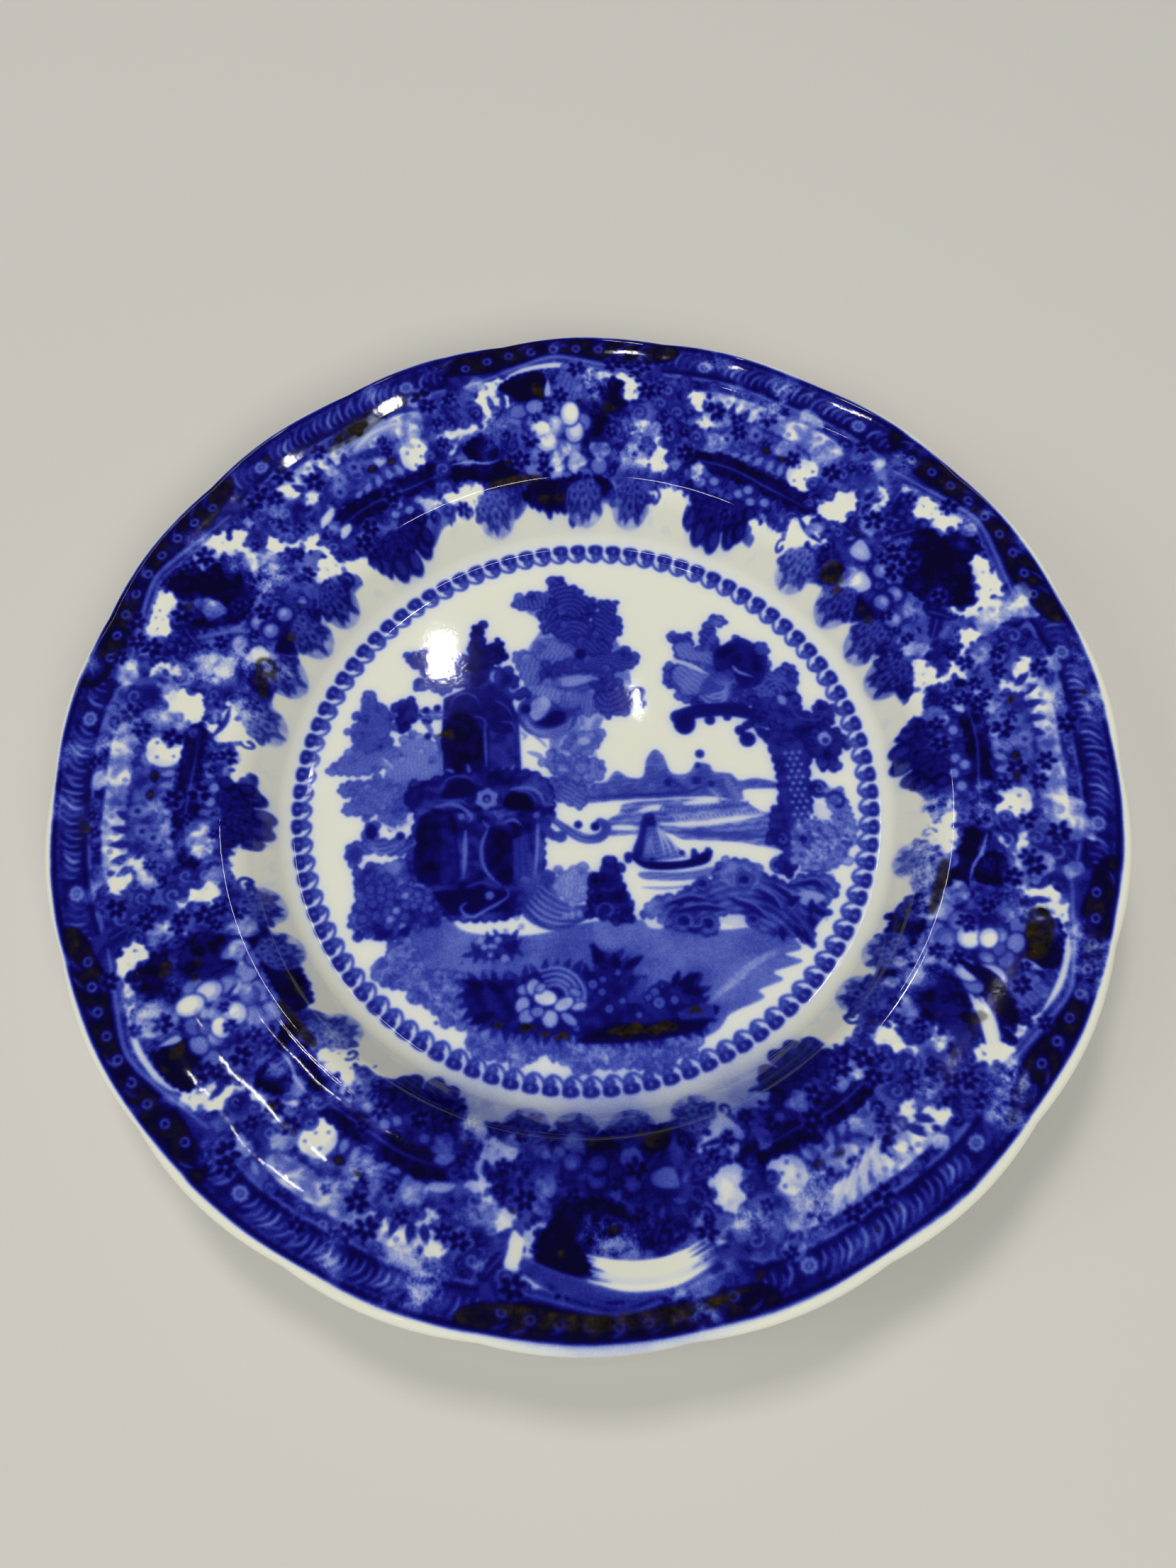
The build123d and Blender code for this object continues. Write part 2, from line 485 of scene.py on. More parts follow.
def tangle(drawn):
    """Leaves and volutes strewn over a third of the border."""
    for _ in range(520):
        place = (drawn.uniform(-60, 60), drawn.uniform(81, 116))
        heading, size = drawn.uniform(0, 360), drawn.uniform(1.4, 3.6)
        sprig(*place, heading, size, size * 0.42, drawn.choice([0.3, 0.42, 0.5, 0.84, 0.92]))
        place = (drawn.uniform(-60, 60), drawn.uniform(81, 116))
        size = drawn.uniform(0.9, 1.7)
        tone, light = drawn.choice([0.78, 0.86, 0.94]), drawn.choice([0.26, 0.38, 0.46])
        scroll(*place, size, tone, light, drawn.uniform(0, 360), drawn.choice([-300, 300]))


def pocket(outline, seed=None):
    """A pocket of bare glaze, flecked with blue, with leaf tips reaching in over its edge."""
    curve = scalloped(deg(outline), 3.0, -0.6)
    fill(curve, 0.02, grit(0.05, 0.06))
    drawn = np.random.default_rng(seed or len(outline))
    for (x, y), heading in headed(even(curve, 4.6), -1):
        if y < 81:
            continue
        start = beyond(x, y, heading, -0.9)
        size = drawn.uniform(1.4, 2.6)
        petal(*start, heading + drawn.uniform(-50, 50), size, size * 0.62, drawn.choice([0.5, 0.74, 0.86]))
    low, high = curve.min(0), curve.max(0)
    x, y = drawn.uniform(low[0], high[0], 30), drawn.uniform(low[1], high[1], 30)
    for px, py in np.stack([x, y], 1)[within(curve, x, y) & (y > 80)]:
        dab(px, py, drawn.uniform(0.15, 0.4), drawn.choice([0.25, 0.4, 0.6]))


def comb():
    """The fringe of light teeth outside a compartment, and the two daisies at its ends."""
    patch([(-17.5, 121.8), (-9, 122.4), (0, 121.9), (9, 122.4), (17.5, 121.8), (17.5, 115.4), (0, 115.2),
        (-17.5, 115.4)], 0.84, grit(0, 0.07, 0.08))
    drawn = np.random.default_rng(17)
    for turn in np.arange(-17, 17.3, 0.92):
        if abs(abs(turn) - 10.6) > 1.3:
            lean = drawn.uniform(0.5, 1.5)
            foot, tip = drawn.uniform(115.4, 117.0), drawn.uniform(119.4, 121.0)
            width, tone = drawn.uniform(0.5, 0.9), drawn.uniform(0.26, 0.62)
            line([(turn, foot), (turn + 0.1 * lean, (foot + tip) / 2), (turn + lean, tip)], width, tone)
            line([(turn + 0.2, 120.3), (turn + 0.56, 120.9), (turn + 0.9, 120.3)], 0.5, 0.6)
    line([(-17, 121.4), (-9, 121.9), (0, 121.5), (9, 121.9), (17, 121.4)], 1.1, 0.96, (1, 1))
    for turn in (-10.6, 10.6):
        x, y = at(turn, 117.4)
        dab(x, y, 2.1, 0.78)
        for px, py in ROUND * 1.2 + (x, y):
            dab(px, py, 0.5, 0.3)
        dab(x, y, 0.5, 0.4)


def rim_band():
    """The near-black band over a panel, its row of ringlets, and the pale moulding under it."""
    patch([(-15, 121.9), (-8, 122.4), (0, 122.7), (8, 122.4), (15, 121.9), (15.6, 119), (13.5, 116.4),
        (9, 115), (4.6, 116.6), (0, 118.3), (-4.6, 116.6), (-9, 115), (-13.5, 116.4), (-15.6, 119)], 0.97,
        grit(0, 0.05))
    patch([(-13.5, 116.4), (-9, 115.2), (-4.6, 116.6), (0, 118), (4.6, 116.6), (9, 115.2), (13.5, 116.4),
        (13.4, 112.4), (8, 113), (4, 114.6), (0, 116.4), (-4, 114.8), (-9, 112.6), (-13.4, 112)], 0.72,
        grit(0, 0.08))
    for turn in np.arange(-11.4, 12, 2.85):
        for size, tone in ((1.1, 0.36), (0.5, 1.0)):
            spot(turn, 119.6 - 1.6 * (turn / 11) ** 2, size, tone)
    line([(-12, 112.6), (-8, 114), (-4, 116), (0, 117.5), (4, 115.9), (8, 114.2), (12, 113.2)], 0.9, 0.4,
        (0.6, 0.6))
    line([(-9, 112.2), (-4, 114.5), (0, 115.9), (4, 114.2), (9, 112.4)], 0.5, 0.46, (0.6, 0.6))
    burn([(-15, 121), (0, 121.6), (15, 121), (14, 117.4), (9, 116.2), (0, 118.8), (-9, 116.2),
        (-14, 117.4)], 0.4, grit(0, 0.3, 0.3), 0.6)
    drawn = np.random.default_rng(18)
    for turn in np.arange(-14, 14.5, 1.9):
        foot, tone = drawn.uniform(119.6, 120.6), drawn.choice([0.5, 0.6, 1.05])
        line([(turn, foot), (turn + 0.8, foot + 0.9), (turn + 1.6, foot + 1.3)], 0.6, tone)


def dark_leaf_panel():
    """The panel of black leaves between two white pockets, with white channels at its foot."""
    for turn, radius, heading, length in ((-9, 104, 100, 9), (-6, 100, 60, 8), (9, 98, 90, 9),
            (11, 92, 140, 9), (-12, 98, 130, 8), (6, 94, 40, 9), (-10, 94, 180, 8), (12, 106, 60, 8)):
        sprig(turn, radius, heading, length, length * 0.42, 0.84, 0.5, 5)
    rim_band()
    pocket([(-10, 111.4), (-9.6, 109.8), (-8, 110.4), (-6.8, 109), (-6.4, 107.6), (-4.8, 107.4),
        (-3, 108.6), (-1.4, 109.8), (-0.8, 112), (-0.7, 114.4), (-2, 115), (-4.6, 113.8), (-7.6, 112.6)],
        31)
    pocket([(3.6, 112.4), (6, 113), (9.6, 112.6), (10, 110), (11, 109.8), (12.2, 107.6), (11, 106.2),
        (10.6, 104), (10.4, 101.2), (8.8, 99.8), (7, 99.4), (8.8, 102), (9, 104.6), (8, 105.6),
        (6.6, 107.6), (5, 108.6), (3.8, 109.4)], 32)
    pocket([(-12.2, 108.2), (-10.6, 107.8), (-9.6, 106), (-9.6, 101.6), (-11, 100.8), (-11.2, 103.6),
        (-12, 106)], 33)
    mass([(-0.9, 108), (-0.6, 111), (0, 114), (1.4, 113.6), (3, 112.4), (3.6, 108.6), (3, 106), (0, 106)],
        0.94)
    mass([(-3.4, 106.6), (-1, 108), (3.4, 108.4), (6, 107), (8.4, 104.8), (7.8, 101), (5.8, 96.4),
        (2, 94.6), (-1, 97.4), (-2.6, 101)], 0.9, grit(0, 0.08, 0.08))
    for turn, radius, size in ((-4.2, 107.2, 1.7), (-7.6, 105.8, 1.8), (-6, 103.6, 1.6), (-8.2, 103, 1.3)):
        spot(turn, radius, size, 0.86)
        spot(turn + 0.2, radius + 0.3, size * 0.5, 0.6)
    spot(4, 107.4, 0.6, 0.8)
    spot(7.4, 107.6, 0.55, 0.7)
    line([(-4.8, 101.4), (-3.6, 99.2), (-2, 96.2), (-0.6, 94.6), (1.4, 93.2)], 1.3, 0.42)
    for turn, radius in ((-6.6, 92), (-2.8, 92.2), (1.6, 91), (-3, 87), (1.4, 87.4), (5, 87)):
        x, y = at(turn, radius)
        dab(x, y, 3.0, 0.82)
        dab(x, y, 2.3, 0.4, 0.8)
        dab(x + 0.2, y + 0.5, 1.2, 0.24, 0.7)
    patch([(-9, 93), (-8.6, 94.6), (-6.6, 94), (-5.6, 92), (-7, 90), (-8.6, 90.4)], 0.24)
    patch([(-5, 88.6), (-3, 89), (-1.6, 87.4), (-2.4, 84.6), (-4.2, 84.8)], 0.2)
    pocket([(-14.4, 103.2), (-12.4, 100), (-13, 97.4), (-12.2, 95.4), (-12.8, 94.2), (-15.4, 92.6),
        (-16.6, 90.8), (-16, 89), (-12.4, 89), (-12.8, 87), (-14.4, 85), (-13, 83.6), (-14.6, 81.6),
        (-18, 80.6), (-19.8, 79.6), (-20, 76), (-23.6, 76), (-23.4, 80), (-26, 83), (-24, 84.4),
        (-20, 84.2), (-19, 85.6), (-19.6, 88), (-18, 90.8), (-16.8, 93), (-18, 96), (-16.4, 98.6),
        (-17, 101), (-15.6, 101.2)])
    pocket([(13, 103), (11.4, 100.4), (11.6, 98.8), (14, 96.6), (15.8, 95), (15, 93.4), (16.6, 92),
        (17, 90.4), (14.8, 89.4), (13, 88), (12.4, 86), (14, 84.8), (17, 83.4), (18.6, 81.6), (18.8, 79),
        (18, 76), (24, 76), (22.8, 79), (22, 81.4), (22.2, 83.6), (20, 84.6), (17.8, 86.6), (18.4, 89),
        (18.2, 91.4), (17.6, 93), (19, 94.8), (18.4, 96), (16.2, 97.2), (15, 98.8), (14, 101.4)])
    patch([(19.8, 95.4), (22.6, 96.4), (23, 98.4), (20.6, 97.6)], 0.1)
    patch([(21, 90), (23, 90.4), (23.6, 92.4), (21.6, 92.4)], 0.12)
    line([(-18.4, 89.4), (-16, 87.8), (-13, 87.6)], 1.2, 0.8)
    for place in ((-17, 98.6, 1.6), (-12, 92, 1.9), (15.4, 99, 1.8), (20.6, 93, 2.0), (-18.6, 94, 1.6),
            (12.6, 96, 1.7), (-20, 99, 1.8)):
        scroll(*place, 0.74)
    patch([(-9.6, 82.4), (-8.6, 86), (-6, 86.4), (-4.6, 84), (-5, 81.4), (-8, 80.8)], 0.98)
    patch([(-3, 82), (-1, 84.4), (3, 84.2), (3.6, 82), (1, 81)], 0.94)
    for turn, radius, size in ((-7, 83.4, 2.0), (-5.4, 81.8, 1.2), (-9, 82, 1.1), (2.4, 82.4, 1.2)):
        side, foot = (turn + size * 0.8, radius + 0.4), (turn, radius - size * 0.8)
        burn([(turn - size * 0.7, radius), (turn, radius + size), side, foot], 0.8)
    for turn, tone in ((-14, 0.46), (-4, 0.6), (5, 0.56), (12.6, 0.62)):
        pendant(turn, tone)


def pendant(turn, tone):
    """A posy that hangs over the wall into the well's white: leaves, then florets, in a halo."""
    x, y = at(turn, 80.8)
    blob(ROUND * (6.4, 4.6) + (x, y - 1.0), tone - 0.2, grit(0, 0.16), 0.7)
    for number in range(10):
        reach = 4.4 + 1.2 * math.sin(2.3 * number + turn)
        for dark, width in ((0.3, 1.9), (0.02, 0.5)):
            petal(x + 0.5 * (number - 4.5), y, 176 + 21 * number, reach, width, tone + dark)
    for east, north, size in ((-3.4, 0.2, 1.7), (3.3, 0.4, 1.6), (0.1, -1.5, 2.0), (-1.3, 1.8, 1.6),
            (1.8, 2.2, 1.7)):
        place, start = (x + east, y + north), turn * 30 + size * 90
        flower(*place, size, 5, tone - 0.08, tone + 0.3, start, tone + 0.36)
    for side in (-1, 1):
        curl(*at(turn + 4.4 * side, 81.6), 1.7, 0.5, 90, 90 - 290 * side, 0.75, tone + 0.3)


def rose_panel():
    """The panel with the full-blown rose and its two white petals."""
    for turn, radius, heading, length in ((9, 92, 60, 9), (12, 98, 100, 8), (-14, 104, 120, 7),
            (13, 90, 20, 9), (-13, 88, 190, 8), (11, 104, 80, 7), (14, 108, 110, 7), (-14, 110, 80, 7)):
        sprig(turn, radius, heading, length, length * 0.42, 0.82, 0.5, 5)
    rim_band()
    pocket([(-11.4, 108.4), (-10, 111.4), (-9, 113), (-6, 113.4), (-5.6, 111.6), (-7.4, 110), (-6.6, 107.6),
        (-5.8, 105.4), (-7, 104.6), (-9, 105.6), (-9.6, 102.6), (-11, 102.8), (-10.6, 105.6)], 34)
    pocket([(3.6, 114.6), (6, 113), (8, 112.6), (9.4, 113), (11.4, 111), (12.2, 107.6), (11, 105.6),
        (9.8, 105.4), (9, 108.6), (8, 111), (6, 110.8), (4, 112.8)], 35)
    line([(-6, 113.6), (-3.4, 114.8), (0, 115), (3.6, 114)], 1.5, 0.08)
    for turn, radius, heading in ((-9.2, 104.6, 95), (-7.7, 104.4, 85), (-6.6, 105.4, 70)):
        sprig(turn, radius, heading, 4.6, 1.5, 0.82, 0.6)
    mass([(-7.4, 110.4), (-6, 112.6), (-3, 113.6), (-1.6, 112), (-1.6, 107), (-2.4, 105.4), (-5, 106),
        (-6, 108)], 0.98, None, 1.6)
    burn([(-3.2, 108), (-3, 110.6), (-1.9, 109), (-1.8, 106.4)], 0.9)
    mass([(-0.6, 106), (0, 110), (0.6, 113.6), (2.4, 113), (4.2, 111), (4.8, 108), (4, 105.4),
        (1.6, 104.6)], 0.5, hatch(70, 1.2, 0.1))
    patch([(-1.8, 107), (-1, 111.4), (-0.8, 107)], 0.16)
    mass([(4.6, 108.4), (5.4, 110.6), (7, 108.4), (7.6, 111.4), (8.4, 110.4), (8.8, 106.4), (10, 104.8),
        (8.4, 102.4), (5.6, 103.4)], 0.92)
    burn([(6.4, 103), (6.8, 105), (8.4, 103.4), (7.6, 101.8)], 0.7)
    mass([(-6, 105), (-5.4, 101), (-5.6, 94), (-5, 88), (0, 86), (4.4, 88), (5.4, 94), (4.8, 102), (2, 105),
        (-2, 106)], 0.76, grit(0, 0.1))
    mass([(4.4, 100.6), (6.6, 101), (8.6, 99.6), (10.4, 96), (9.6, 91.6), (8.6, 87), (5, 86), (4.4, 92)],
        0.86, grit(0, 0.12))
    for turn, radius, size, tone, squash in ((-5.6, 103.6, 2.2, 0.42, 0.8), (-3.2, 104.2, 2.3, 0.34, 0.8),
            (-0.8, 103.4, 2.0, 0.44, 0.8), (-1.8, 101.4, 1.6, 0.5, 0.8), (3.8, 99.4, 1.9, 0.4, 1.2),
            (-4.6, 87.8, 2.6, 0.36, 0.9), (-1, 87.4, 3.0, 0.36, 0.9), (2.6, 88, 2.8, 0.34, 0.9),
            (6.4, 87.6, 2.4, 0.4, 0.9), (-2.6, 84.6, 2.4, 0.42, 0.8), (0.6, 84.4, 2.4, 0.44, 0.8),
            (4, 85.2, 2.4, 0.46, 0.8)):
        spot(turn, radius, size + 0.5, 0.8, squash)
        spot(turn, radius, size, tone, squash)
    for turn, radius, size, squash, tone in ((-3.8, 91.4, 2.6, 0.8, 0.36), (1.8, 92.6, 2.8, 0.9, 0.34),
            (-0.8, 90.0, 2.6, 0.8, 0.42), (-3.6, 100.6, 1.8, 0.9, 0.3), (2.4, 97.0, 2.5, 1.2, 0.14),
            (1.8, 101.8, 2.4, 1.3, 0.04), (-2.0, 94.6, 2.9, 0.9, 0.08), (-2.8, 98.6, 2.5, 0.8, 0.04),
            (-0.2, 99.6, 1.2, 1.4, 0.3)):
        spot(turn, radius, size + 0.4, 0.72, squash)
        spot(turn, radius, size, tone + 0.12, squash)
        spot(turn + 0.2, radius + 0.4, size * 0.66, tone, squash)
    line([(0.6, 97), (0.8, 93.6), (1.6, 91.4)], 0.9, 0.8)
    mass([(-14.8, 96.8), (-13.6, 98.8), (-11, 99), (-10.2, 97), (-10.4, 93), (-12, 92.4), (-14.4, 94.2)],
        0.98, None, 1.6)
    pocket([(-17.6, 96.4), (-14.4, 100), (-10.6, 100.8), (-10.4, 102.6), (-14, 102.6), (-17.4, 103),
        (-18, 101), (-15.6, 99.8), (-16, 97.6)], 37)
    mass([(-18.4, 90), (-16, 92), (-12, 91.8), (-9.4, 91), (-7.4, 88), (-9, 86), (-12, 86.4), (-15, 88.6)],
        0.99)
    line([(-17.4, 94), (-14.6, 93.2), (-12.4, 91.8), (-10, 91.6)], 0.8, 0.16)
    burn([(-12.6, 84.8), (-12.4, 86.4), (-8, 86.8), (-4, 86.2), (-4, 84.8), (-8, 84.2)], 0.9)
    mass([(-6.4, 83), (-4, 84.6), (4, 84.4), (8, 84), (7.6, 80.6), (3, 78), (-2, 78.4), (-6, 79.6)], 0.94,
        grit(0, 0.06))
    for turn in (-3.6, -0.6):
        burn([(turn - 1.1, 80.6), (turn, 81.4), (turn + 1.2, 80.8), (turn, 79.8)], 0.85)
    pocket([(-23.6, 86), (-20, 87.4), (-16, 88), (-13.4, 86.4), (-14, 84.4), (-15.4, 83), (-15.6, 80),
        (-14.6, 76.6), (-21, 76), (-22.4, 79), (-20.6, 81), (-19.4, 83.6), (-21.6, 85)])
    pocket([(10.6, 102), (11.4, 99.4), (11, 96.8), (12.2, 97), (13.6, 98.6), (13.4, 101)])
    pocket([(12.4, 89.6), (14.6, 91), (15.2, 94), (14.8, 97), (16, 97), (16, 94.6), (18, 94), (17, 92.4),
        (18, 89), (17.4, 87), (15.6, 87.4)])
    pocket([(15.6, 80), (16, 83), (19.6, 84.6), (22, 84.2), (23.6, 82), (22.6, 79.4), (24, 76), (17, 76)])
    pocket([(21.4, 91.2), (23, 92.6), (24.6, 91), (23.4, 89), (24.6, 86.6), (22.6, 87.4)])
    for place in ((12, 102.7, 1.9), (-13.6, 103.4, 1.5), (-19, 93.6, 2.4), (19.4, 94, 2.2), (-20, 98, 1.8),
            (14.8, 105.6, 2.0), (21, 99, 2.0)):
        scroll(*place, 0.72)
    for turn, tone in ((-13, 0.48), (4, 0.52), (12.4, 0.58)):
        pendant(turn, tone)


def compartment():
    """A scroll-framed compartment of tiny ringlets on white, with a palmette and small flowers."""
    comb()
    line([(-16, 114.4), (-8, 115.2), (0, 114.6), (8, 115.2), (16, 114.4)], 1.0, 0.9, (1, 1))
    line([(-15, 113.2), (-8, 114), (0, 113.6), (8, 114), (15, 113.2)], 0.7, 0.42, (1, 1))
    for turn in (-12.4, -8.6, -4.4, 0, 4.4, 8.6, 12.4):
        scroll(turn, 112.8, 1.5, 0.72, 0.4, 90 + turn * 10)
    patch([(-9.6, 111), (-4, 111.4), (2, 111), (8, 111.2), (11, 109.6), (10, 106.4), (6, 105.2), (0, 105),
        (-6, 106), (-8, 107.4)], 0.24, grit(0, 0.2, 0.12))
    pocket([(-11.4, 110.6), (-8.4, 110), (-7.4, 106.8), (-6.6, 103.6), (-8, 101.6), (-10, 101.2),
        (-9.4, 104.6), (-11.6, 107.6)], 38)
    dots = np.random.default_rng(21)
    for _ in range(46):
        turn, radius = dots.uniform(-8.6, 10), dots.uniform(105.4, 111.4)
        spot(turn, radius, 0.62, 0.5)
        spot(turn, radius, 0.26, 0.2)
    for turn, heading, length in ((-8.2, 118, 4.6), (-6.8, 104, 5.2), (-5.2, 92, 5.2), (-3.6, 78, 4.8),
            (-2.0, 62, 4.2)):
        sprig(turn, 104.8, heading, length, 1.7, 0.84, 0.56)
    mass([(-7, 105), (-3, 106), (3, 105.6), (7, 105), (10, 103.6), (13, 104.8), (14, 101), (10, 100),
        (6, 98.4), (0, 98), (-4, 99.6), (-6.4, 102)], 0.6, grit(0, 0.16))
    for turn, radius in ((-3.6, 102.8), (-0.8, 103.8), (6.6, 102.8), (9.4, 101.6), (-4.6, 100.4)):
        flower(*at(turn, radius), 1.9, 5, 0.42, 0.86, turn * 9)
    for turn, radius in ((1.4, 101.2), (4.2, 100.8)):
        patch([(turn - 0.9, radius), (turn, radius + 1.1), (turn + 0.9, radius), (turn, radius - 0.9)],
            0.98)
        burn([(turn - 0.7, radius), (turn, radius + 0.8), (turn + 0.7, radius), (turn, radius - 0.7)], 0.85)
    patch([(5.6, 99), (6.4, 103), (9, 103.4), (10, 100.6), (10.2, 97), (8, 95), (6.4, 96.4)], 0.06,
        grit(0, 0.08))
    for turn, radius in ((7, 101), (8.6, 99), (7.4, 97.4), (9, 101.6)):
        spot(turn, radius, 0.5, 0.5)
    for turn in (-3.4, -1.4, 0.8, 3.0, 5.0):
        sprig(turn, 96.2, 60 + 9 * turn, 3.6, 1.9, 0.32)
        spot(turn + 0.4, 96, 0.6, 0.8)
    mass([(-10, 94), (-4, 96.4), (2, 95.2), (8, 95.6), (14, 94), (12, 91.4), (4, 90.6), (-4, 91), (-9, 91)],
        0.88, grit(0, 0.06), 2.6)
    line([(-8, 93), (-2, 93.4), (5, 92.4), (11, 92.6)], 0.6, 0.5)
    for turn in (-6, -2, 3, 7, 10):
        sprig(turn, 91.6, 270 + turn * 4, 4.4, 1.9, 0.84, 0.5)
    for turn, radius in ((0.6, 88), (3, 87.2), (5.2, 88.6), (1.8, 89.8), (-6, 87.6), (-4, 88.8)):
        spot(turn, radius, 1.9, 0.74)
        spot(turn, radius, 1.4, 0.3, 0.8)
    for turn, radius, size in ((-6, 83, 3.6), (1.6, 82.6, 3.6), (-2.2, 80.4, 4.2)):
        rose(*at(turn, radius), size, 0.7, 0.98, turn * 20)
    for turn, radius in ((-6.4, 79.4), (-3.8, 77.6), (-0.8, 77.2), (2.2, 79)):
        spot(turn, radius, 2.5, 0.9)
        spot(turn + 0.3, radius + 0.3, 1.5, 0.66)
    for turn, radius in ((-7.4, 80.4), (3.4, 80.2), (-7.8, 84), (3.8, 84.4)):
        x, y = at(turn, radius)
        dab(x, y, 2.1, 0.94)
        dab(x + 0.3, y + 0.3, 1.3, 0.74)
    for turn, radius, size in ((-13, 97.4, 2.4), (13.4, 98.2, 2.4), (-12.6, 104, 2.0), (12.8, 104.6, 2.0),
            (-14.6, 109, 2.2), (14.6, 109, 2.2), (-11, 89.6, 2.2), (10.4, 88.4, 2.2), (-12, 84, 2.0),
            (9, 83.6, 2.0)):
        scroll(turn, radius, size, 0.74)


def smear(points, width, tone, streaks, spread=1.0):
    """Transfer dragged while wet: a soft sheaf of streaks that follow one line."""
    drawn = np.random.default_rng(len(points) + streaks)
    for number in range(streaks):
        away = (number / (streaks - 1) - 0.5) * width
        shift = drawn.uniform(-0.6, 0.6)
        path = [(turn + shift, radius + away * spread) for turn, radius in points]
        line(path, width / streaks * 1.7, tone + drawn.uniform(-0.08, 0.14), (0.4, 0.1))


def painted_shade(turn, radius, reach, share):
    """Painted shade: ink laid softly round one place to darken it where shade falls, not ink that ran."""
    y, x = (np.mgrid[0:SIDE, 0:SIDE] + 0.5) / CELLS - REACH
    away = np.hypot(x - radius * math.cos(turn), y - radius * math.sin(turn)) / reach
    ink[:] += (1.0 - ink) * share * np.exp(-away ** 2)


def tone_at(place):
    """The tone that already lies on the sheet at one place."""
    column, row = ((frame_of[0].onto(np.array([at(*place)]))[0] + REACH) * CELLS).astype(int)
    return ink[row, column]


def strewn(drawn):
    """Pale clouds, then small dark flowers with a light halo, over a third of the border."""
    for _ in range(60):
        place = (drawn.uniform(-60, 60), drawn.uniform(83, 115))
        size = drawn.uniform(1.2, 3.4)
        if 0.3 < tone_at(place) < 0.84:
            x, y = at(*place)
            shape = ROUND * size * drawn.uniform(0.6, 1.3, (8, 1)) + (x, y)
            blob(shape, 0.14, grit(0.14, 0.22), 0.62)
    for _ in range(150):
        place = (drawn.uniform(-60, 60), drawn.uniform(82, 116))
        size, turn = drawn.uniform(1.3, 2.9), drawn.uniform(0, 360)
        if 0.3 < tone_at(place) < 0.82:
            x, y = at(*place)
            fill(ROUND * size * 1.12 + (x, y), 0.34, None, 0.5)
            for number in range(6):
                petal(x, y, turn + 60 * number + drawn.uniform(-14, 14), size, size * 0.46, 0.97)
            dab(x, y, size * 0.22, 0.4)


def flaws():
    """Painted shade round the bottom of the wall and border, then what went wrong on this plate: a dragged
    transfer, drips, and scorched spots.
    """
    # Painted shade: soft extra ink round the bottom of the wall and border, darker where shade falls there.
    for turn, radius, reach, share in ((270, 88, 16, 0.42), (247, 86, 12, 0.4), (293, 86, 12, 0.4),
            (270, 112, 26, 0.2)):
        painted_shade(math.radians(turn), radius, reach, share)
    frame_of[0] = Border(270)
    patch([(-11, 107), (-7, 111), (-2, 114.6), (4, 114.4), (9, 111), (10, 107.4), (2, 105.6)], 0.74,
        grit(0, 0.14))
    smear([(10, 107.6), (5, 111), (0, 113.2), (-6, 113.2), (-11, 110.6)], 2.2, 0.5, 4)
    smear([(9, 106), (4, 107.8), (-2, 107.2)], 2.8, 0.98, 4)
    smear([(2.5, 108.4), (-2, 110.4), (-6.5, 110.4), (-11, 108.2)], 4.8, 0.03, 6)
    line([(11.4, 102.6), (11, 105), (11.2, 108.4)], 3.0, 0.08, (0.5, 1))
    frame_of[0] = Border(300)
    for turn in (-1.6, 0.4, 2.4, 4.4):
        smear([(turn - 2.2, 104 + 0.5 * turn), (turn, 107 + 0.4 * turn), (turn + 1.2, 110.6)], 1.5, 0.14, 3)
    frame_of[0] = Border(330)
    smear([(1.6, 96), (2.6, 102), (6, 108.6)], 3.4, 0.94, 5)
    smear([(5.4, 100.6), (7.4, 105), (10.6, 109.6)], 3.6, 0.05, 5, 0.7)
    smear([(9.4, 98), (10.6, 102), (13, 106)], 2.4, 0.7, 5)
    frame_of[0] = Border(330)
    burn([(-8.4, 108), (-6, 111), (-2.6, 110), (-3, 107), (-5, 105.4), (-7.6, 105)], 0.9, grit(0, 0.3))
    frame_of[0] = Border(270)
    burn([(-13, 117.4), (-4, 120.4), (8, 119.6), (12, 116.4), (4, 117.2), (-6, 117)], 0.7, grit(0, 0.3))
    frame_of[0] = Border(120)
    burn([(-3, 110.6), (1, 114), (6, 115.4), (10.4, 113.6), (6, 111.6), (2, 109.8)], 0.9, grit(0, 0.3))
    smear([(0, 108), (4, 110), (8, 109.4)], 2.6, 0.2, 4)
    for centre in (154.5, 38.5):
        frame_of[0] = Border(centre)
        burn(ROUND * (1.6, 2.7) + (0, 84), 0.9)
        burn(ROUND * (0.8, 1.4) + (0, 84), 0.2)
    drawn = np.random.default_rng(23)
    for _ in range(110):
        frame_of[0] = Border(drawn.uniform(0, 360))
        size, radius = drawn.uniform(0.3, 1.1), drawn.uniform(82, 121)
        share = drawn.uniform(0.3, 0.9)
        if tone_at((0, radius)) > 0.76:
            burn(ROUND * (size * 0.7, size) + (0, radius), share, grit(0, 0.3))


border_ground()
for centre in range(0, 360, 60):
    frame_of[0] = Border(centre)
    compartment()
for centre in (30, 150, 270):
    frame_of[0] = Border(centre)
    dark_leaf_panel()
    frame_of[0] = Border(centre + 60)
    rose_panel()
for centre in (0, 120, 240):
    frame_of[0] = Border(centre)
    strewn(np.random.default_rng(41 + centre))
flaws()
frame_of[0] = Flat


# ---------------------------------------------------------------------------------------------
# The centre scene
# ---------------------------------------------------------------------------------------------

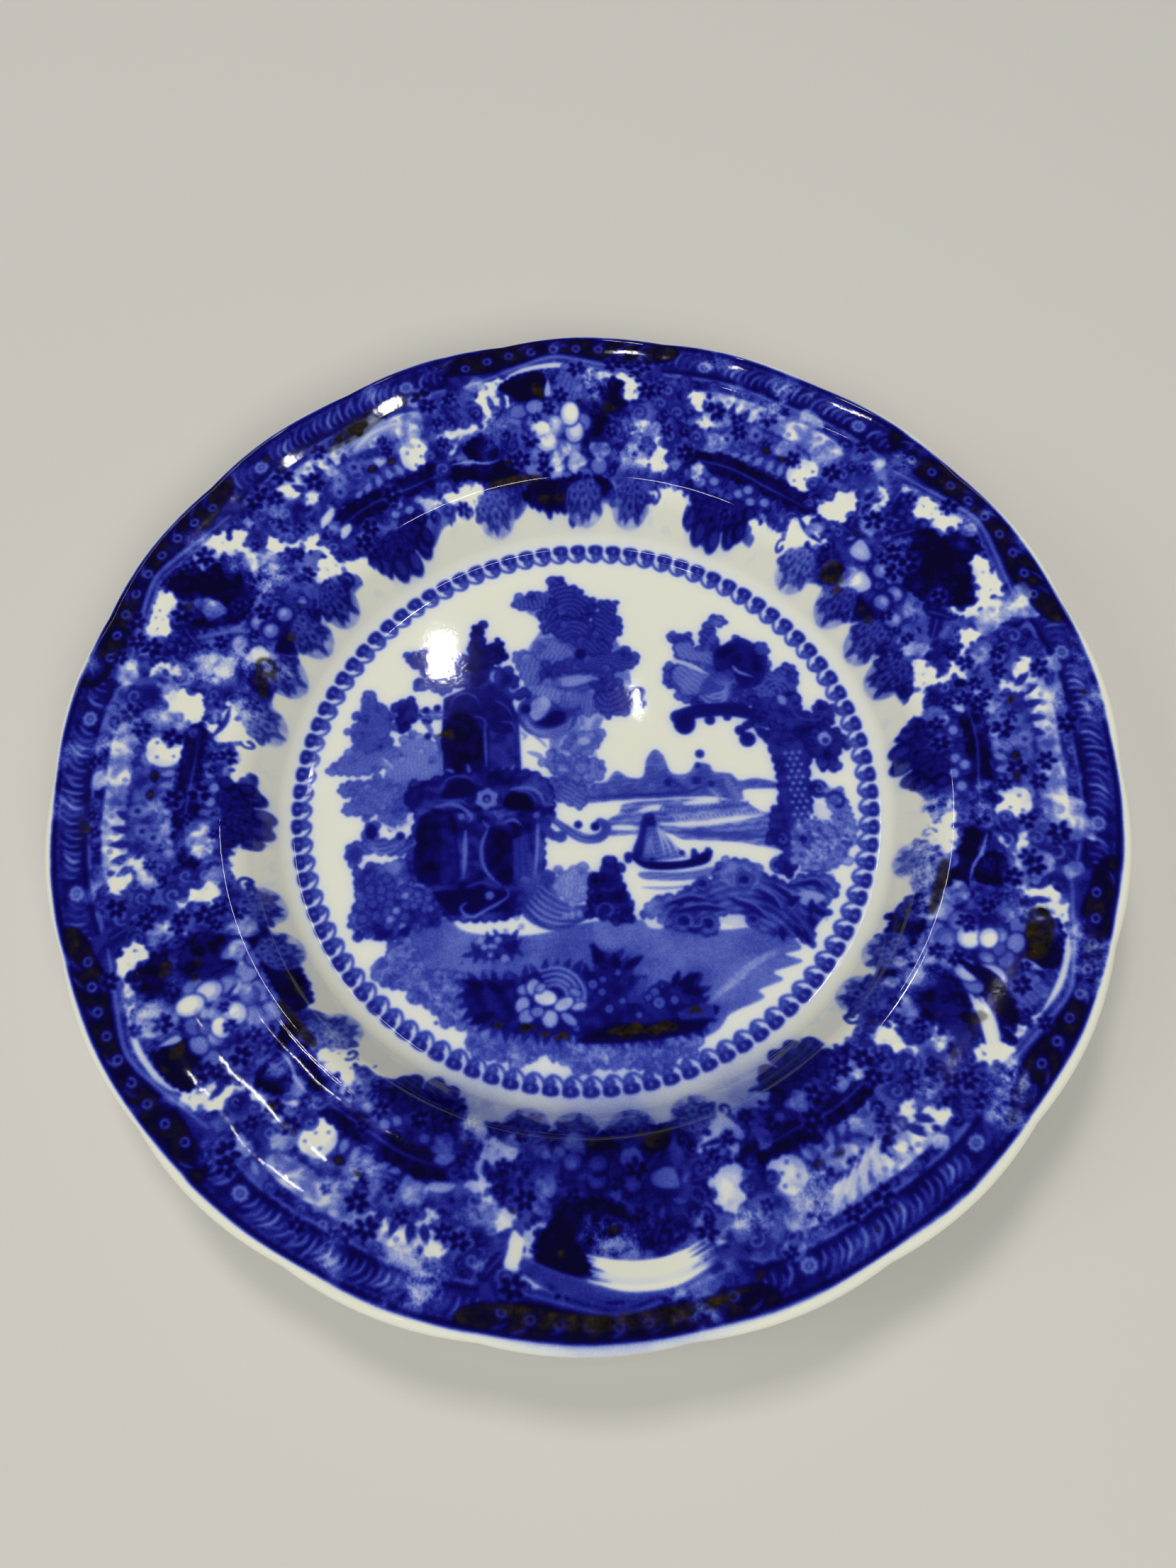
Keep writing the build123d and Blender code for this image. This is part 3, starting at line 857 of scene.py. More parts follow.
def ground_and_water():
    blob([(-46, -30), (-41, -29), (-35, -26.5), (-31, -30), (-22, -32), (-12, -32), (0, -30), (12, -30.5),
        (28, -34), (40, -34), (46, -37), (48, -40), (44, -41), (48, -43), (41, -45), (43, -47), (37, -49),
        (38, -51), (30, -54), (26, -58), (15, -61), (0, -61), (-15, -59), (-30, -56), (-31, -47),
        (-44, -44), (-47, -38)], 0.46, grit(0.05, 0, 0.05))
    blob([(26, -51), (32, -47.5), (37, -43.5), (43, -40.5), (40, -40), (33, -44), (27, -49)], 0.24,
        grit(0.1), 0.7)
    blob([(-1, 0.4), (-1, 5), (5, 5.2), (8, 8), (11, 6), (14.5, 6), (15.7, 10.5), (18, 13), (20, 11),
        (21.5, 6.5), (25.5, 6), (28, 8.5), (31, 8), (32, 6), (36, 5.2), (38, 3.2), (42, 3.5), (47, 2),
        (47, 0.6), (39, 0.8), (38.5, -1.6), (36, -1.8), (30, -0.4), (10, 0.2)], 0.52,
        both(hatch(3, 1.4, 0.05), grit(0, 0.07)))
    stroke([(1, 1.3), (12, 1.2), (24, 1), (30, 2.6)], 1.1, 0.72)
    stroke([(20, 6), (24, 2.5), (26, 1.5)], 1.4, 0.66)
    dabs([(29, 11, 1.15), (28.2, 8, 0.8), (27.5, 4, 1.1), (31, 2.8, 0.9), (20.5, 4, 1)], 0.8)
    stroke([(30.5, 2), (32, 0), (33, -1.5)], 0.7, 0.3)
    stroke([(35, 4), (36, 1), (38, -1)], 2.0, 0.4)
    blob([(8, -3.2), (10, -0.8), (24, -0.7), (31, -1.5), (38, -2.2), (43, -5.4), (47, -6.2), (47, -14.4),
        (42, -14.2), (36, -12.6), (30, -11.8), (23, -11), (18, -8.8), (5, -8.8), (5, -5)], 0.44,
        both(hatch(2, 1.7, 0.13), grit(0, 0.06)))
    stroke([(5, -6.7), (9, -7), (13, -7.6)], 1.5, 0.03)
    stroke([(18, -6.8), (27, -7.3), (36, -6.7), (43, -6.2)], 1.5, 0.03)
    stroke([(13, -3), (17, -2.4), (20, -3.2)], 1.5, 0.03)
    stroke([(24, -1.9), (29, -1.8), (33, -2.2)], 1.5, 0.03)
    for x in np.arange(21, 42, 1.1):
        stroke([(x, -4.7 - 0.1 * (x % 2)), (x + 0.5, -5.5), (x + 0.7, -6.3)], 0.5, 0.2)
        stroke([(x - 3, -3.6), (x - 2.8, -2.9), (x - 2.2, -2.2)], 0.5, 0.66)
    stroke([(23, -9.2), (32, -10.4), (46, -12)], 1.6, 0.62)
    blob([(12, -18.6), (22, -19.3), (31, -18.4), (30, -20.5), (22, -21.3), (13, -20.4)], 0.44,
        hatch(2, 1.1, 0.1))
    stroke([(12, -22.4), (18, -23), (24, -22.8)], 0.7, 0.36)


def boat():
    blob([(13.6, -4.6), (15, -3.6), (16.4, -4.2), (16.9, -9), (17.5, -15.6), (11, -15), (10.6, -13),
        (12.3, -9)], 0.84)
    fill([(14.5, -7), (17, -7.5), (23.4, -15.4), (17, -16), (12.6, -15)], 0.5, ripple(15, -2, 1.2, 0.1))
    for tip_x, bend in ((18.2, 0.2), (19.9, 0.5), (21.7, 0.9)):
        stroke([(16.9, -7.4), ((16.9 + tip_x) / 2 + bend, -11.5), (tip_x, -15.4)], 0.55, 0.14)
    for tip_x in (13.4, 14.6, 15.9):
        stroke([(15.4, -9.4), ((15.4 + tip_x) / 2 - 0.5, -12.4), (tip_x, -15)], 0.4, 0.3)
    blob([(10, -14.4), (14, -16), (23, -16.4), (29, -14), (29.3, -15.8), (27.4, -17.6), (20, -18.4),
        (13.2, -17.6)], 1.0)
    dabs([(9.4, -14.4, 1.1), (9.3, -15.2, 0.9), (22.3, -14.4, 0.7), (25.2, -14.2, 0.7), (25.4, -15.4, 1.0),
        (28.6, -14.2, 0.7), (15, -15.5, 0.6)], 0.86)


def centre_tree():
    blob([(-12, 55), (-3, 61), (4, 56), (10, 53), (10.4, 45), (13, 38), (13, 27), (7, 24), (3.6, 16),
        (3.6, 7), (-3, 2), (-8, 9), (-8, 20), (-10, 30), (-13, 41), (-8, 50)], 0.3, grit(0, 0.12))
    lobe([(-15.4, 57.4), (-12, 58.4), (-8, 59.6), (-5, 57.8), (-4.6, 55), (-9, 54.6), (-14.6, 55.2)], 0.60,
        hatch(100, 1.15, 0.22))
    lobe([(-6, 61.3), (-5, 63.4), (-3, 63.2), (-1.2, 61.2), (1, 60.6), (2.8, 59), (3.2, 57.4), (5.6, 56.6),
        (6.2, 54.8), (4.6, 52), (1, 51), (-4, 50.6), (-8.8, 51.6), (-9, 53.6), (-4.6, 55), (-4.8, 58)],
        0.68, ripple(-1.5, 50.5, 1.35, 0.17))
    lobe([(-8, 50.4), (-8, 47.8), (-5.4, 47.2), (-4, 46), (0, 45), (5, 44.6), (6.2, 48), (3, 50.6),
        (-2, 51.4)], 0.66, ripple(-1, 44, 1.3, 0.15))
    lobe([(8, 55.6), (12, 55), (11, 53.4), (11, 51), (10.6, 49.6), (12.2, 48.2), (12, 46), (10, 44.6),
        (8, 43.4), (6, 42.6), (3, 45), (5, 48), (5.2, 51.6), (7, 53)], 0.68, hatch(-40, 1.2, 0.17))
    lobe([(8.6, 43.4), (9, 41), (4, 40.2), (-1, 41), (-3, 44), (0, 46), (5, 45)], 0.66,
        hatch(-50, 1.2, 0.14))
    lobe([(-10.8, 44), (-9, 45.4), (-6, 45.8), (-3, 44.4), (0, 42), (2, 40), (-2, 38), (-8, 38.6),
        (-9.6, 41)], 0.44, hatch(55, 1.1, 0.13), rim=0.1)
    lobe([(-16.2, 41.6), (-14.4, 42.8), (-12, 42.6), (-10.2, 41), (-9, 39), (-8.6, 35), (-11.6, 32.8),
        (-13.6, 34), (-15, 38)], 0.46, hatch(70, 1.2, 0.12), rim=0.14)
    lobe([(-8, 37), (-3, 39.4), (5, 40.4), (12, 40.6), (14.8, 39), (15.4, 37), (13.4, 35.8), (8, 35),
        (0, 35.4), (-6, 35.6)], 0.64, hatch(-62, 1.3, 0.18, 0.02))
    lobe([(-9.4, 34.6), (-5, 36), (5, 35.6), (9, 34), (9.8, 31), (7, 29.6), (2, 29), (-4, 29.6), (-9, 31)],
        0.62, ripple(-1, 40, 1.4, 0.12))
    blob([(-6.8, 33.4), (-3, 34.8), (3, 34.6), (5.6, 33.4), (3, 33), (-1, 31.8), (-4.6, 32.2)], 0.3,
        hatch(10, 0.9, 0.08))
    lobe([(-12, 32), (-9, 33), (-4, 31), (-2, 28), (-3.4, 25.6), (-8, 25.6), (-10.6, 28.4)], 0.4,
        hatch(60, 1.1, 0.14), rim=0.1)
    lobe([(-4, 30), (3, 30), (6, 28), (4.6, 25), (2.6, 23.4), (0, 24), (-2.6, 26)], 0.46,
        hatch(80, 1.0, 0.12), rim=0.14)
    lobe([(5, 30), (9.6, 30), (13, 30.4), (15.6, 28.6), (15.4, 26.4), (13, 25.4), (12.6, 23.6), (10, 22.8),
        (8.6, 23.6), (7.4, 22.2), (5.4, 24), (4, 27)], 0.64, ripple(8, 30, 1.4, 0.12))
    dab(1.2, 40.8, 1.5, 0.92)
    lobe([(-3, 18), (0, 19), (2.6, 19), (4.8, 17.4), (4.6, 15.4), (3, 14), (1, 12.6), (-2, 13.4),
        (-5, 15.4)], 0.42, rim=0.2)
    dab(0.6, 16.6, 1.7, 0.22, 0.7)
    lobe([(-8, 15), (-5, 13), (0, 12.2), (4.6, 11), (5.2, 8), (4, 6), (0, 5.6), (-4, 7), (-9, 10)], 0.46,
        grit(0.16, 0.1))
    lobe([(-9, 7), (-5, 6.6), (0, 4.6), (0.4, 2), (-1, -1.4), (-4, 0), (-7, 1.4), (-9, 4)], 0.5,
        hatch(-40, 1.1, 0.16))


def big_scroll():
    """The C-scroll between the tower and the tree."""
    blob([(-15, 28), (-11, 30), (-7, 28.5), (-4, 26), (-1, 25.6), (-0.8, 22.5), (-3, 19.6), (-7, 18),
        (-12, 19), (-15.5, 23)], 0.66)
    blob([(-12.6, 25), (-11.6, 28.6), (-8.6, 29.6), (-7, 27.4), (-8.6, 24.6), (-11, 23)], 0.28,
        grit(0, 0.06))
    dab(-13.4, 26.5, 1.25, 0.95)
    blob([(-11.5, 22.4), (-8.4, 21.2), (-4.4, 22), (-3.6, 24.6), (-6.6, 25.4), (-9, 23.4)], 0.92)
    for reach in (1.0, 2.2, 3.4):
        start, end = (-15.4 + 0.5 * reach, 24.5), (-1.6 - 0.2 * reach, 23.4)
        middle = [(-12.6 + 0.2 * reach, 20.2 + 0.3 * reach), (-8, 18 + 0.6 * reach),
            (-3.6, 19 + 0.7 * reach)]
        stroke([start, *middle, end], 0.5, 0.4 - 0.03 * reach)
    stroke([(-15, 20.2), (-13.8, 19), (-14.8, 18)], 0.8, 0.3)
    stroke([(-12, 19.4), (-9.8, 17), (-8.6, 15.2)], 0.7, 0.36)
    stroke([(-13.4, 14.6), (-11, 13.6), (-9.6, 12)], 1.4, 0.34)


def tower():
    lobe([(-43, 41.4), (-42, 44), (-39, 44.8), (-34, 43), (-28, 42.6), (-22, 41), (-22, 36), (-27, 33.4),
        (-31, 34), (-34, 32), (-38, 34), (-41, 33.4), (-41, 36.4), (-38, 38)], 0.62,
        both(hatch(80, 1.2, 0.08), grit(0, 0.1)))
    lobe([(-27.2, 40), (-26.8, 46), (-26, 50.6), (-24.8, 51.2), (-23.6, 49.6), (-23, 45.6), (-21.4, 45.2),
        (-20, 46.8), (-18.6, 45.6), (-18.4, 43), (-18, 41), (-19.6, 39.8), (-22, 40), (-24, 38),
        (-28, 38.6)], 0.88, bump=2.4)
    lobe([(-23, 39), (-20, 38.6), (-18.4, 37.6), (-16.4, 37), (-15, 34.6), (-15.4, 32.8), (-17.8, 33),
        (-16.6, 32), (-13, 32.2), (-12.2, 30.6), (-14, 29.4), (-20, 29.6), (-26, 31), (-27, 36)], 0.76)
    stroke([(-21, 37.6), (-21.8, 36.2), (-21.3, 34.4)], 1.0, 0.2)
    stroke([(-17.6, 32.6), (-16.6, 31.6), (-15.4, 32.4)], 0.8, 0.25)
    fill([(-34, 31), (-34.6, 24), (-34.6, 9), (-15.4, 9), (-15.4, 24), (-17, 29), (-20, 32.4), (-28, 33.4)],
        0.84, grit(0, 0.06))
    blob([(-34.4, 23.6), (-31, 26.4), (-27.4, 25.6), (-25.2, 22), (-25, 11), (-34.6, 11)], 0.98,
        grit(0, 0.08))
    stroke([(-24, 23), (-24, 17), (-24, 11)], 0.75, 0.42)
    fill([(-22.8, 21), (-17, 20), (-16.6, 11), (-22.8, 11)], 0.72, grit(0, 0.08))
    stroke([(-34.9, 17), (-35, 14), (-34.8, 10)], 0.6, 0.3)
    stroke([(-32.6, 28.2), (-31.4, 31), (-28.4, 32), (-25.8, 30.4), (-24.6, 27)], 0.55, 0.5)
    stroke([(-30, 36.6), (-28, 35.4), (-27.4, 32.4)], 0.55, 0.5)
    stroke([(-21, 29.4), (-18.4, 27.4), (-16.8, 24.4)], 0.55, 0.5)
    stroke([(-20, 23.6), (-17, 22.6), (-16.4, 20)], 0.55, 0.5)
    stroke([(-26.6, 25.4), (-24.4, 24.6), (-23, 22)], 0.55, 0.5)
    stroke([(-23.6, 10.6), (-21, 10.2), (-18.6, 11.6)], 0.55, 0.5)
    stroke([(-24.6, 9.4), (-22, 8.8), (-19.6, 8.4)], 0.55, 0.5)
    stroke([(-28.6, 12.4), (-28, 9.6), (-26.2, 7.8), (-23.4, 7.6)], 1.3, 0.36)
    stroke([(-34, 11.4), (-32.6, 11), (-31.4, 9.6)], 0.9, 0.36)
    stroke([(-17.2, 11.4), (-18, 9.6), (-19.4, 8.2)], 0.9, 0.36)
    dab(-14, 7.3, 1.1, 0.32)
    stroke([(-16.5, 6.8), (-15.4, 5.9), (-13.6, 6.4)], 1.0, 0.32)
    lobe([(-45.8, 27), (-45, 30), (-43, 31.8), (-41.4, 31), (-41, 28.4), (-40, 26), (-42, 25), (-44, 22.2),
        (-45.6, 23), (-46, 25.4)], 0.8)
    for path in (
            [(-40.4, 28), (-38, 27.4), (-33, 27)],
            [(-41, 26), (-37, 25.8), (-33, 25.6)],
            [(-39, 24.6), (-37.6, 22.4), (-38, 20.6)],
            [(-37, 21), (-35.6, 19.4), (-35.4, 16)]):
        stroke(path, 1.1, 0.74)
        stroke(path, 0.4, 0.3)
    dabs([(-38.6, 28, 0.9), (-35.8, 28.4, 0.9), (-38.4, 20.8, 0.9)], 0.95)


def left_leaves():
    lobe([(-55, 31), (-54.4, 34), (-52.6, 34.6), (-51.2, 33), (-51, 31), (-49, 30), (-47.8, 28),
        (-47.4, 25), (-48, 22), (-47, 20), (-49, 16), (-55, 17.6), (-57.6, 22), (-57.4, 25), (-55, 27)],
        0.54, both(hatch(65, 1.0, 0.05), grit(0.08)), height=0.35)
    lobe([(-64, 12.6), (-62, 15), (-59, 17), (-56, 18.6), (-52, 18), (-47, 18.6), (-45.6, 16), (-48, 13.4),
        (-51, 12.6), (-55, 11.4), (-60, 12)], 0.46, hatch(35, 1.0, 0.07), bump=2.4)
    lobe([(-60.6, 8.6), (-58, 10), (-53, 9.8), (-48, 9.6), (-43, 6), (-42, 3), (-44, 0), (-47, -2),
        (-50, -1.4), (-50.6, 1), (-52.6, 0.6), (-54, -0.6), (-55.4, 1), (-57, 1), (-59.4, 1.6),
        (-59.4, 3.6), (-57, 5.4), (-60, 6.4)], 0.49, both(hatch(60, 1.1, 0.07), grit(0.07)), bump=2.2)
    lobe([(-49, 12), (-46, 17), (-44.4, 20.6), (-41, 20.8), (-37.4, 19.6), (-35.6, 16), (-35.2, 10),
        (-37, 7), (-41, 6), (-45, 8), (-48.6, 10)], 0.38, hatch(98, 0.95, 0.13, 0.006), rim=0.1)
    stroke([(-50, 16), (-48, 14), (-47.4, 12.6)], 0.5, 0.12)
    lobe([(-43, 9), (-38, 8), (-34, 9), (-34, 3), (-38, 2), (-42, 3)], 0.72)
    curl(-44.4, 2.6, 2.6, 0.9, 180, -160, 0.6, 0.66)
    stroke([(-49.4, -2), (-46.6, -3.6), (-43.6, -2), (-42.8, 1)], 0.9, 0.1)


def gatehouse():
    lobe([(-44.6, 5), (-40, 8), (-34, 10), (-16, 10), (-10.4, 8), (-8, 4), (-8, -3), (-10.4, -7),
        (-11, -18), (-12, -22), (-16, -26), (-22, -28), (-34, -27), (-38, -22), (-42, -19), (-44, -14),
        (-44, -8), (-42.6, -4), (-42, 0)], 0.8, grit(0, 0.14, 0.1), tufts=False)
    blob([(-42, -16), (-42, -6), (-40.6, -1), (-38, 1), (-34.4, 0.8), (-32.2, -2), (-31.6, -10),
        (-31.8, -17), (-36, -18.4)], 0.96, grit(0, 0.08))
    blob([(-36, -17.4), (-35.4, -8), (-35.8, -1), (-33.4, -1.4), (-32.4, -9), (-32.6, -16.8)], 0.8,
        grit(0, 0.08), 0.8)
    blob([(-35.4, 4), (-33.6, 7.4), (-30.8, 8.8), (-28, 8), (-27, 5), (-31, 3.6)], 0.98)
    blob([(-20.2, 0.6), (-19.4, 3.4), (-16.6, 4.4), (-14, 3), (-12.8, 0.2), (-17, -0.6)], 1.06)
    blob([(-23.6, -5), (-20, -4.6), (-18.6, -8), (-18.8, -18), (-20.4, -19.4), (-23.4, -17), (-25.2, -12)],
        0.95, grit(0, 0.08))
    fill([(-18.4, -8), (-14.6, -7), (-14.2, -18), (-18.6, -18)], 0.66, hatch(90, 1.5, 0.05))
    fill([(-41, -20), (-26, -19.6), (-20, -21), (-20, -26), (-34, -26), (-37, -22)], 0.98)
    stroke([(-37, 1.7), (-33, 2.2), (-29.8, 0.7), (-28.1, -1.6), (-29, -3)], 1.0, 0.36)
    stroke([(-36, 3.3), (-31, 3.1), (-28, 0.9)], 0.5, 0.48)
    stroke([(-35.6, 6.4), (-33.4, 9), (-30, 9.5), (-27, 7.4)], 0.45, 0.48)
    stroke([(-29.7, -5), (-30, -11), (-30.6, -17.4)], 1.25, 0.34)
    stroke([(-24.2, -5), (-25.6, -8), (-26, -12), (-24.8, -16), (-21.6, -19.6)], 1.0, 0.36)
    stroke([(-18.4, 5), (-14.4, 5.2), (-11.2, 3.4), (-10, 0)], 0.9, 0.36)
    stroke([(-17, 4.3), (-13.8, 3.8), (-12, 1.6)], 0.4, 0.48)
    stroke([(-20.4, -3.6), (-17.8, -3), (-15.8, -4.8)], 0.9, 0.4)
    stroke([(-12, -4.6), (-12.6, -12), (-13.4, -18)], 1.0, 0.3)
    stroke([(-11.2, -9), (-11.6, -14), (-12.2, -17)], 0.35, 0.5)
    stroke([(-30, -23.2), (-31.4, -24.3), (-30.4, -26.1), (-28.4, -26.8), (-25.6, -25.4), (-22.6, -24),
        (-20, -22.2), (-20.6, -20)], 0.9, 0.34)
    stroke([(-43.6, -18.3), (-41, -18), (-38.8, -20), (-37.4, -23), (-37, -25.4)], 0.9, 0.36)
    stroke([(-38.8, -26.4), (-37, -26.6), (-37, -28.4), (-38.6, -28.2)], 0.8, 0.36)
    stroke([(-30, -19.4), (-26.8, -18.4), (-24, -19.2)], 0.8, 0.6)
    stroke([(-43.6, -8), (-42, -7.4), (-42.6, -5.8)], 0.8, 0.4)
    stroke([(-22.8, -0.2), (-21.4, -1.8), (-20, -1.4)], 0.7, 0.4)
    stroke([(-25.4, -2.6), (-24.4, -4.2), (-23.4, -4.2)], 0.7, 0.42)
    stroke([(-16.8, -18.4), (-15.6, -18), (-15, -19.4)], 0.7, 0.4)
    flower(-24.2, 3, 3.0, 6, 0.34, 0.9, 20, core=0.36)
    dab(-24.2, 2.8, 0.5, 0.4)
    dab(-24.4, -21.8, 1.15, 0.36)
    dab(-30.6, -1.2, 0.8, 0.34)
    dab(-12.2, -2.2, 0.9, 0.4)


def left_base():
    lobe([(-59, -8), (-57.6, -6.2), (-55, -5.8), (-54.6, -3), (-53, -1.2), (-51.4, -2), (-51, -5),
        (-48.4, -6), (-45, -6), (-43, -8), (-45, -10), (-50, -9.6), (-54, -9), (-55.6, -11), (-57.6, -11.8),
        (-58.8, -10)], 0.56, ripple(-50, -2, 1.3, 0.14))
    dab(-52.7, -3.6, 2.0, 0.92, 0.75, 90)
    dab(-57, -9, 1.9, 0.68)
    dab(-45.6, -5.2, 1.1, 0.9)
    for reach in (0, 1.1):
        stroke([(-53.4, -6.4 - reach), (-51, -8 - reach), (-47.8, -7.8 - reach), (-46, -7)], 0.4, 0.28)
    lobe([(-57, -12.6), (-55, -13.4), (-51.4, -12.2), (-48, -12.4), (-45, -11), (-43.6, -14), (-43.4, -18),
        (-39, -20), (-37, -25), (-38, -28), (-43, -29), (-46, -31), (-50, -31), (-52, -29.4),
        (-57.6, -27.6), (-58, -25), (-56.4, -20)], 0.66, grit(0.08, 0.16))
    lobe([(-50, -12.6), (-46, -11.6), (-44, -14), (-44, -18), (-47, -19), (-50, -16)], 0.48, grit(0, 0.14),
        rim=0.08)
    berries(-49.5, -22, 6.5, 22, 1.15, 0.56, 0.8, 3)
    berries(-40.5, -22.6, 2.6, 7, 0.9, 0.46, 0.8, 4)
    dabs([(-46.8, -24, 0.9), (-48.4, -26, 0.9), (-44.6, -20.4, 0.9), (-45.4, -28, 0.9)], 0.26)
    leaf(-44, -28, 235, 5, 2.4, 0.9)
    leaf(-48, -29, 200, 5, 2.4, 0.9)


def right_base():
    blob([(-17, -25), (-12, -19), (-10, -17), (-9, -21.6), (-6, -25), (-0.4, -26), (-0.6, -28.4),
        (-5, -30.8), (-10, -31.4), (-15, -29)], 0.66, ripple(-4, -18, 1.4, 0.08))
    for reach in np.arange(0, 5.2, 1.25):
        west = [(-15.6 + reach * 0.6, -25 + reach), (-12.8 + reach * 0.6, -28 + reach * 1.1)]
        east = [(-9 + reach * 0.4, -29.8 + reach * 1.05), (-5 + reach * 0.6, -30 + reach * 0.8)]
        stroke(west + east, 0.75, 0.28 + 0.03 * reach)
    for x in (-6.6, -5, -3.2, -1.4, 0.4):
        dab(x, -27.6 - 0.3 * (x % 2), 0.75, 0.3, 1.3)
    stroke([(-9.4, -2.6), (-5, -6.4), (-1, -9), (3, -9), (4.6, -6.6), (3, -4.8), (1.6, -6.4)], 2.3, 0.64)
    stroke([(-8, -3.6), (-4.4, -7.2), (-0.6, -9.6), (3, -9.4)], 0.4, 0.34)
    stroke([(-5, -5.2), (-1.6, -8), (2, -8.4)], 0.35, 0.34)
    dab(1.9, -6.2, 1.1, 0.95)
    dab(-2.2, -5.4, 1.0, 0.9)
    stroke([(-10.6, -5), (-8.6, -7.6), (-6, -8.6)], 2.2, 0.66)
    dab(-6.6, -8.2, 1.5, 0.6)
    lobe([(-9.6, -19.4), (-7, -17.6), (-5.4, -16.6), (-2.6, -15.8), (-1, -17.4), (0.6, -18.4), (0.4, -23),
        (-1, -25), (-6, -24), (-9, -22)], 0.33, both(hatch(70, 0.9, 0.07), grit(0.06)))
    curl(-10.6, -18.6, 2.0, 0.8, 120, -220, 1.1, 0.66)
    lobe([(0, -19), (2.6, -17.6), (3, -15.4), (5, -13.8), (6.6, -16), (7, -19), (8, -22), (9.2, -27),
        (9, -29.8), (6, -30.4), (0, -28.6), (-1, -25)], 0.84, grit(0, 0.1))
    curl(3.2, -27.6, 2.4, 1.2, 200, -60, 0.5, 0.46)
    stroke([(2, -22), (4, -22.6), (5.6, -22)], 0.4, 0.55)


def bank():
    lobe([(11, -29.6), (14, -26), (17, -24.6), (20, -24.8), (22, -23.4), (26, -22), (29, -21.4),
        (30, -18.4), (33, -16.8), (38, -17.6), (40, -19.4), (42, -21.6), (44, -22), (47, -24), (50, -22),
        (56, -22.4), (58.6, -25), (58, -27.6), (55, -30), (56, -32), (52, -35.4), (51, -39.6), (49, -38.6),
        (47, -37), (44, -36.6), (40, -35.6), (36, -32.6), (33, -30.4), (29, -31.4), (28.4, -35),
        (26, -35.4), (23, -34), (18, -33), (14.6, -30)], 0.62,
        both(ripple(34, -44, 1.9, 0.13), grit(0, 0.12)), tufts=False)
    blob([(12, -30.4), (14, -29), (16.4, -31), (16, -32.8), (13, -32.4)], 0.06)
    blob([(29.6, -32), (32, -30.6), (35.6, -31), (36, -33.2), (33, -33.6)], 0.1)
    lobe([(12, -27.6), (14, -25.8), (16.4, -26), (16.6, -29), (14, -30), (12, -29.4)], 0.44, grit(0, 0.12))
    lobe([(31, -18.6), (34, -17.4), (38, -18.6), (40.6, -21), (40, -24), (36, -24.6), (31, -22.6)], 0.46,
        grit(0, 0.12))
    for x, y, size in ((27, -32.6, 2.3), (21.4, -31.6, 2.3), (47, -29, 1.5), (36.6, -22.4, 1.9),
            (26.6, -22.6, 1.6), (45.2, -19.2, 1.9), (37.6, -32.2, 1.5)):
        dab(x, y, size + 0.35, 0.72)
        dab(x, y, size - 0.1, 0.5)
        curl(x, y, size * 0.6, 0.25, 200, -120, size * 0.42, 0.92)
    for start, middle, end in (
            ((18, -27), (23, -26), (29, -27)),
            ((20, -29), (26, -28.4), (33, -29.4)),
            ((40, -25.6), (43, -28), (45, -31)),
            ((44, -25), (46.6, -27), (48, -29)),
            ((33, -27), (38, -29.6), (42, -33)),
            ((48, -24.6), (53, -24), (56, -26)),
            ((22, -33.4), (24, -33.8), (26, -32))):
        stroke([start, middle, end], 1.5, 0.86)
        stroke([(start[0] + 0.5, start[1] + 0.9), (middle[0] + 0.5, middle[1] + 0.9), end], 0.5, 0.34)
    blob([(48.6, -27), (51, -25.8), (55.4, -27.6), (53, -29.4), (49.6, -29.4)], 0.26)
    for x, y, heading in ((49.5, -27.4, 200), (52, -28, 260), (50.4, -32, 300), (47, -34, 290),
            (44, -34, 270), (52, -31, 340), (49, -35.4, 285)):
        leaf(x, y, heading, 4.2, 1.7, 0.9)
    blob([(51.6, -36.4), (53.6, -35), (55.2, -32.6), (54, -33), (52, -35)], 0.0)


def urn_and_trellis():
    lobe([(45.6, 15), (50, 16.4), (56, 15), (57, 10), (55.6, 6), (55, 0), (55, -5), (53.6, -8), (50.6, -10),
        (50, -16), (49, -20.6), (47, -22.4), (44.6, -19), (46.6, -16), (45, -14), (42.6, -13), (44, -10),
        (45, -5), (47, -3), (47.4, 4), (46.6, 10)], 0.76, grit(0, 0.08), tufts=False)
    for row in range(17):
        y = 9.6 - 1.62 * row
        for column in range(3):
            x = 50.1 + 1.75 * column + 0.87 * (row % 2) + 0.03 * row
            if x < 54:
                fill([(x - 0.62, y), (x, y + 0.66), (x + 0.62, y), (x, y - 0.66)], 0.24)
    for x, y, size in ((57, -0.4, 2.1), (46.6, -12.8, 2.0)):
        dab(x, y, size + 0.3, 0.82)
        curl(x, y, size * 0.75, 0.3, 90, -200, 0.5, 0.4)
    lobe([(58.8, -2.4), (60.6, -1), (62.8, -2), (63.8, -4.8), (64.6, -9), (65, -12), (62.4, -15), (60, -14),
        (59, -8)], 0.44, grit(0.14), bump=2.0)
    curl(61, -4.2, 2.9, 1.1, 150, -90, 0.8, 0.86)
    lobe([(50, -9.6), (53, -8.6), (56, -8), (60, -7.6), (63, -10), (64.4, -13), (62, -16.6), (60, -20),
        (55, -21.4), (50.4, -20), (48.8, -15)], 0.36, grit(0.2, 0.09), rim=0.12)
    blob([(55, -5), (57.4, -4.4), (59.6, -7), (58.6, -8.6), (56, -8)], 0.08)
    dots = np.random.default_rng(5)
    for _ in range(90):
        x, y = dots.uniform(50, 64), dots.uniform(-20, -6)
        if math.hypot((x - 57) / 7.2, (y + 14) / 6.8) < 1:
            dab(x, y, dots.uniform(0.25, 0.5), 0.7)
    dab(51.8, -13, 0.95, 0.9)
    for y in (-20.8, -22):
        stroke([(50, y), (54, y - 0.7), (58, y - 0.4)], 0.6, 0.66)


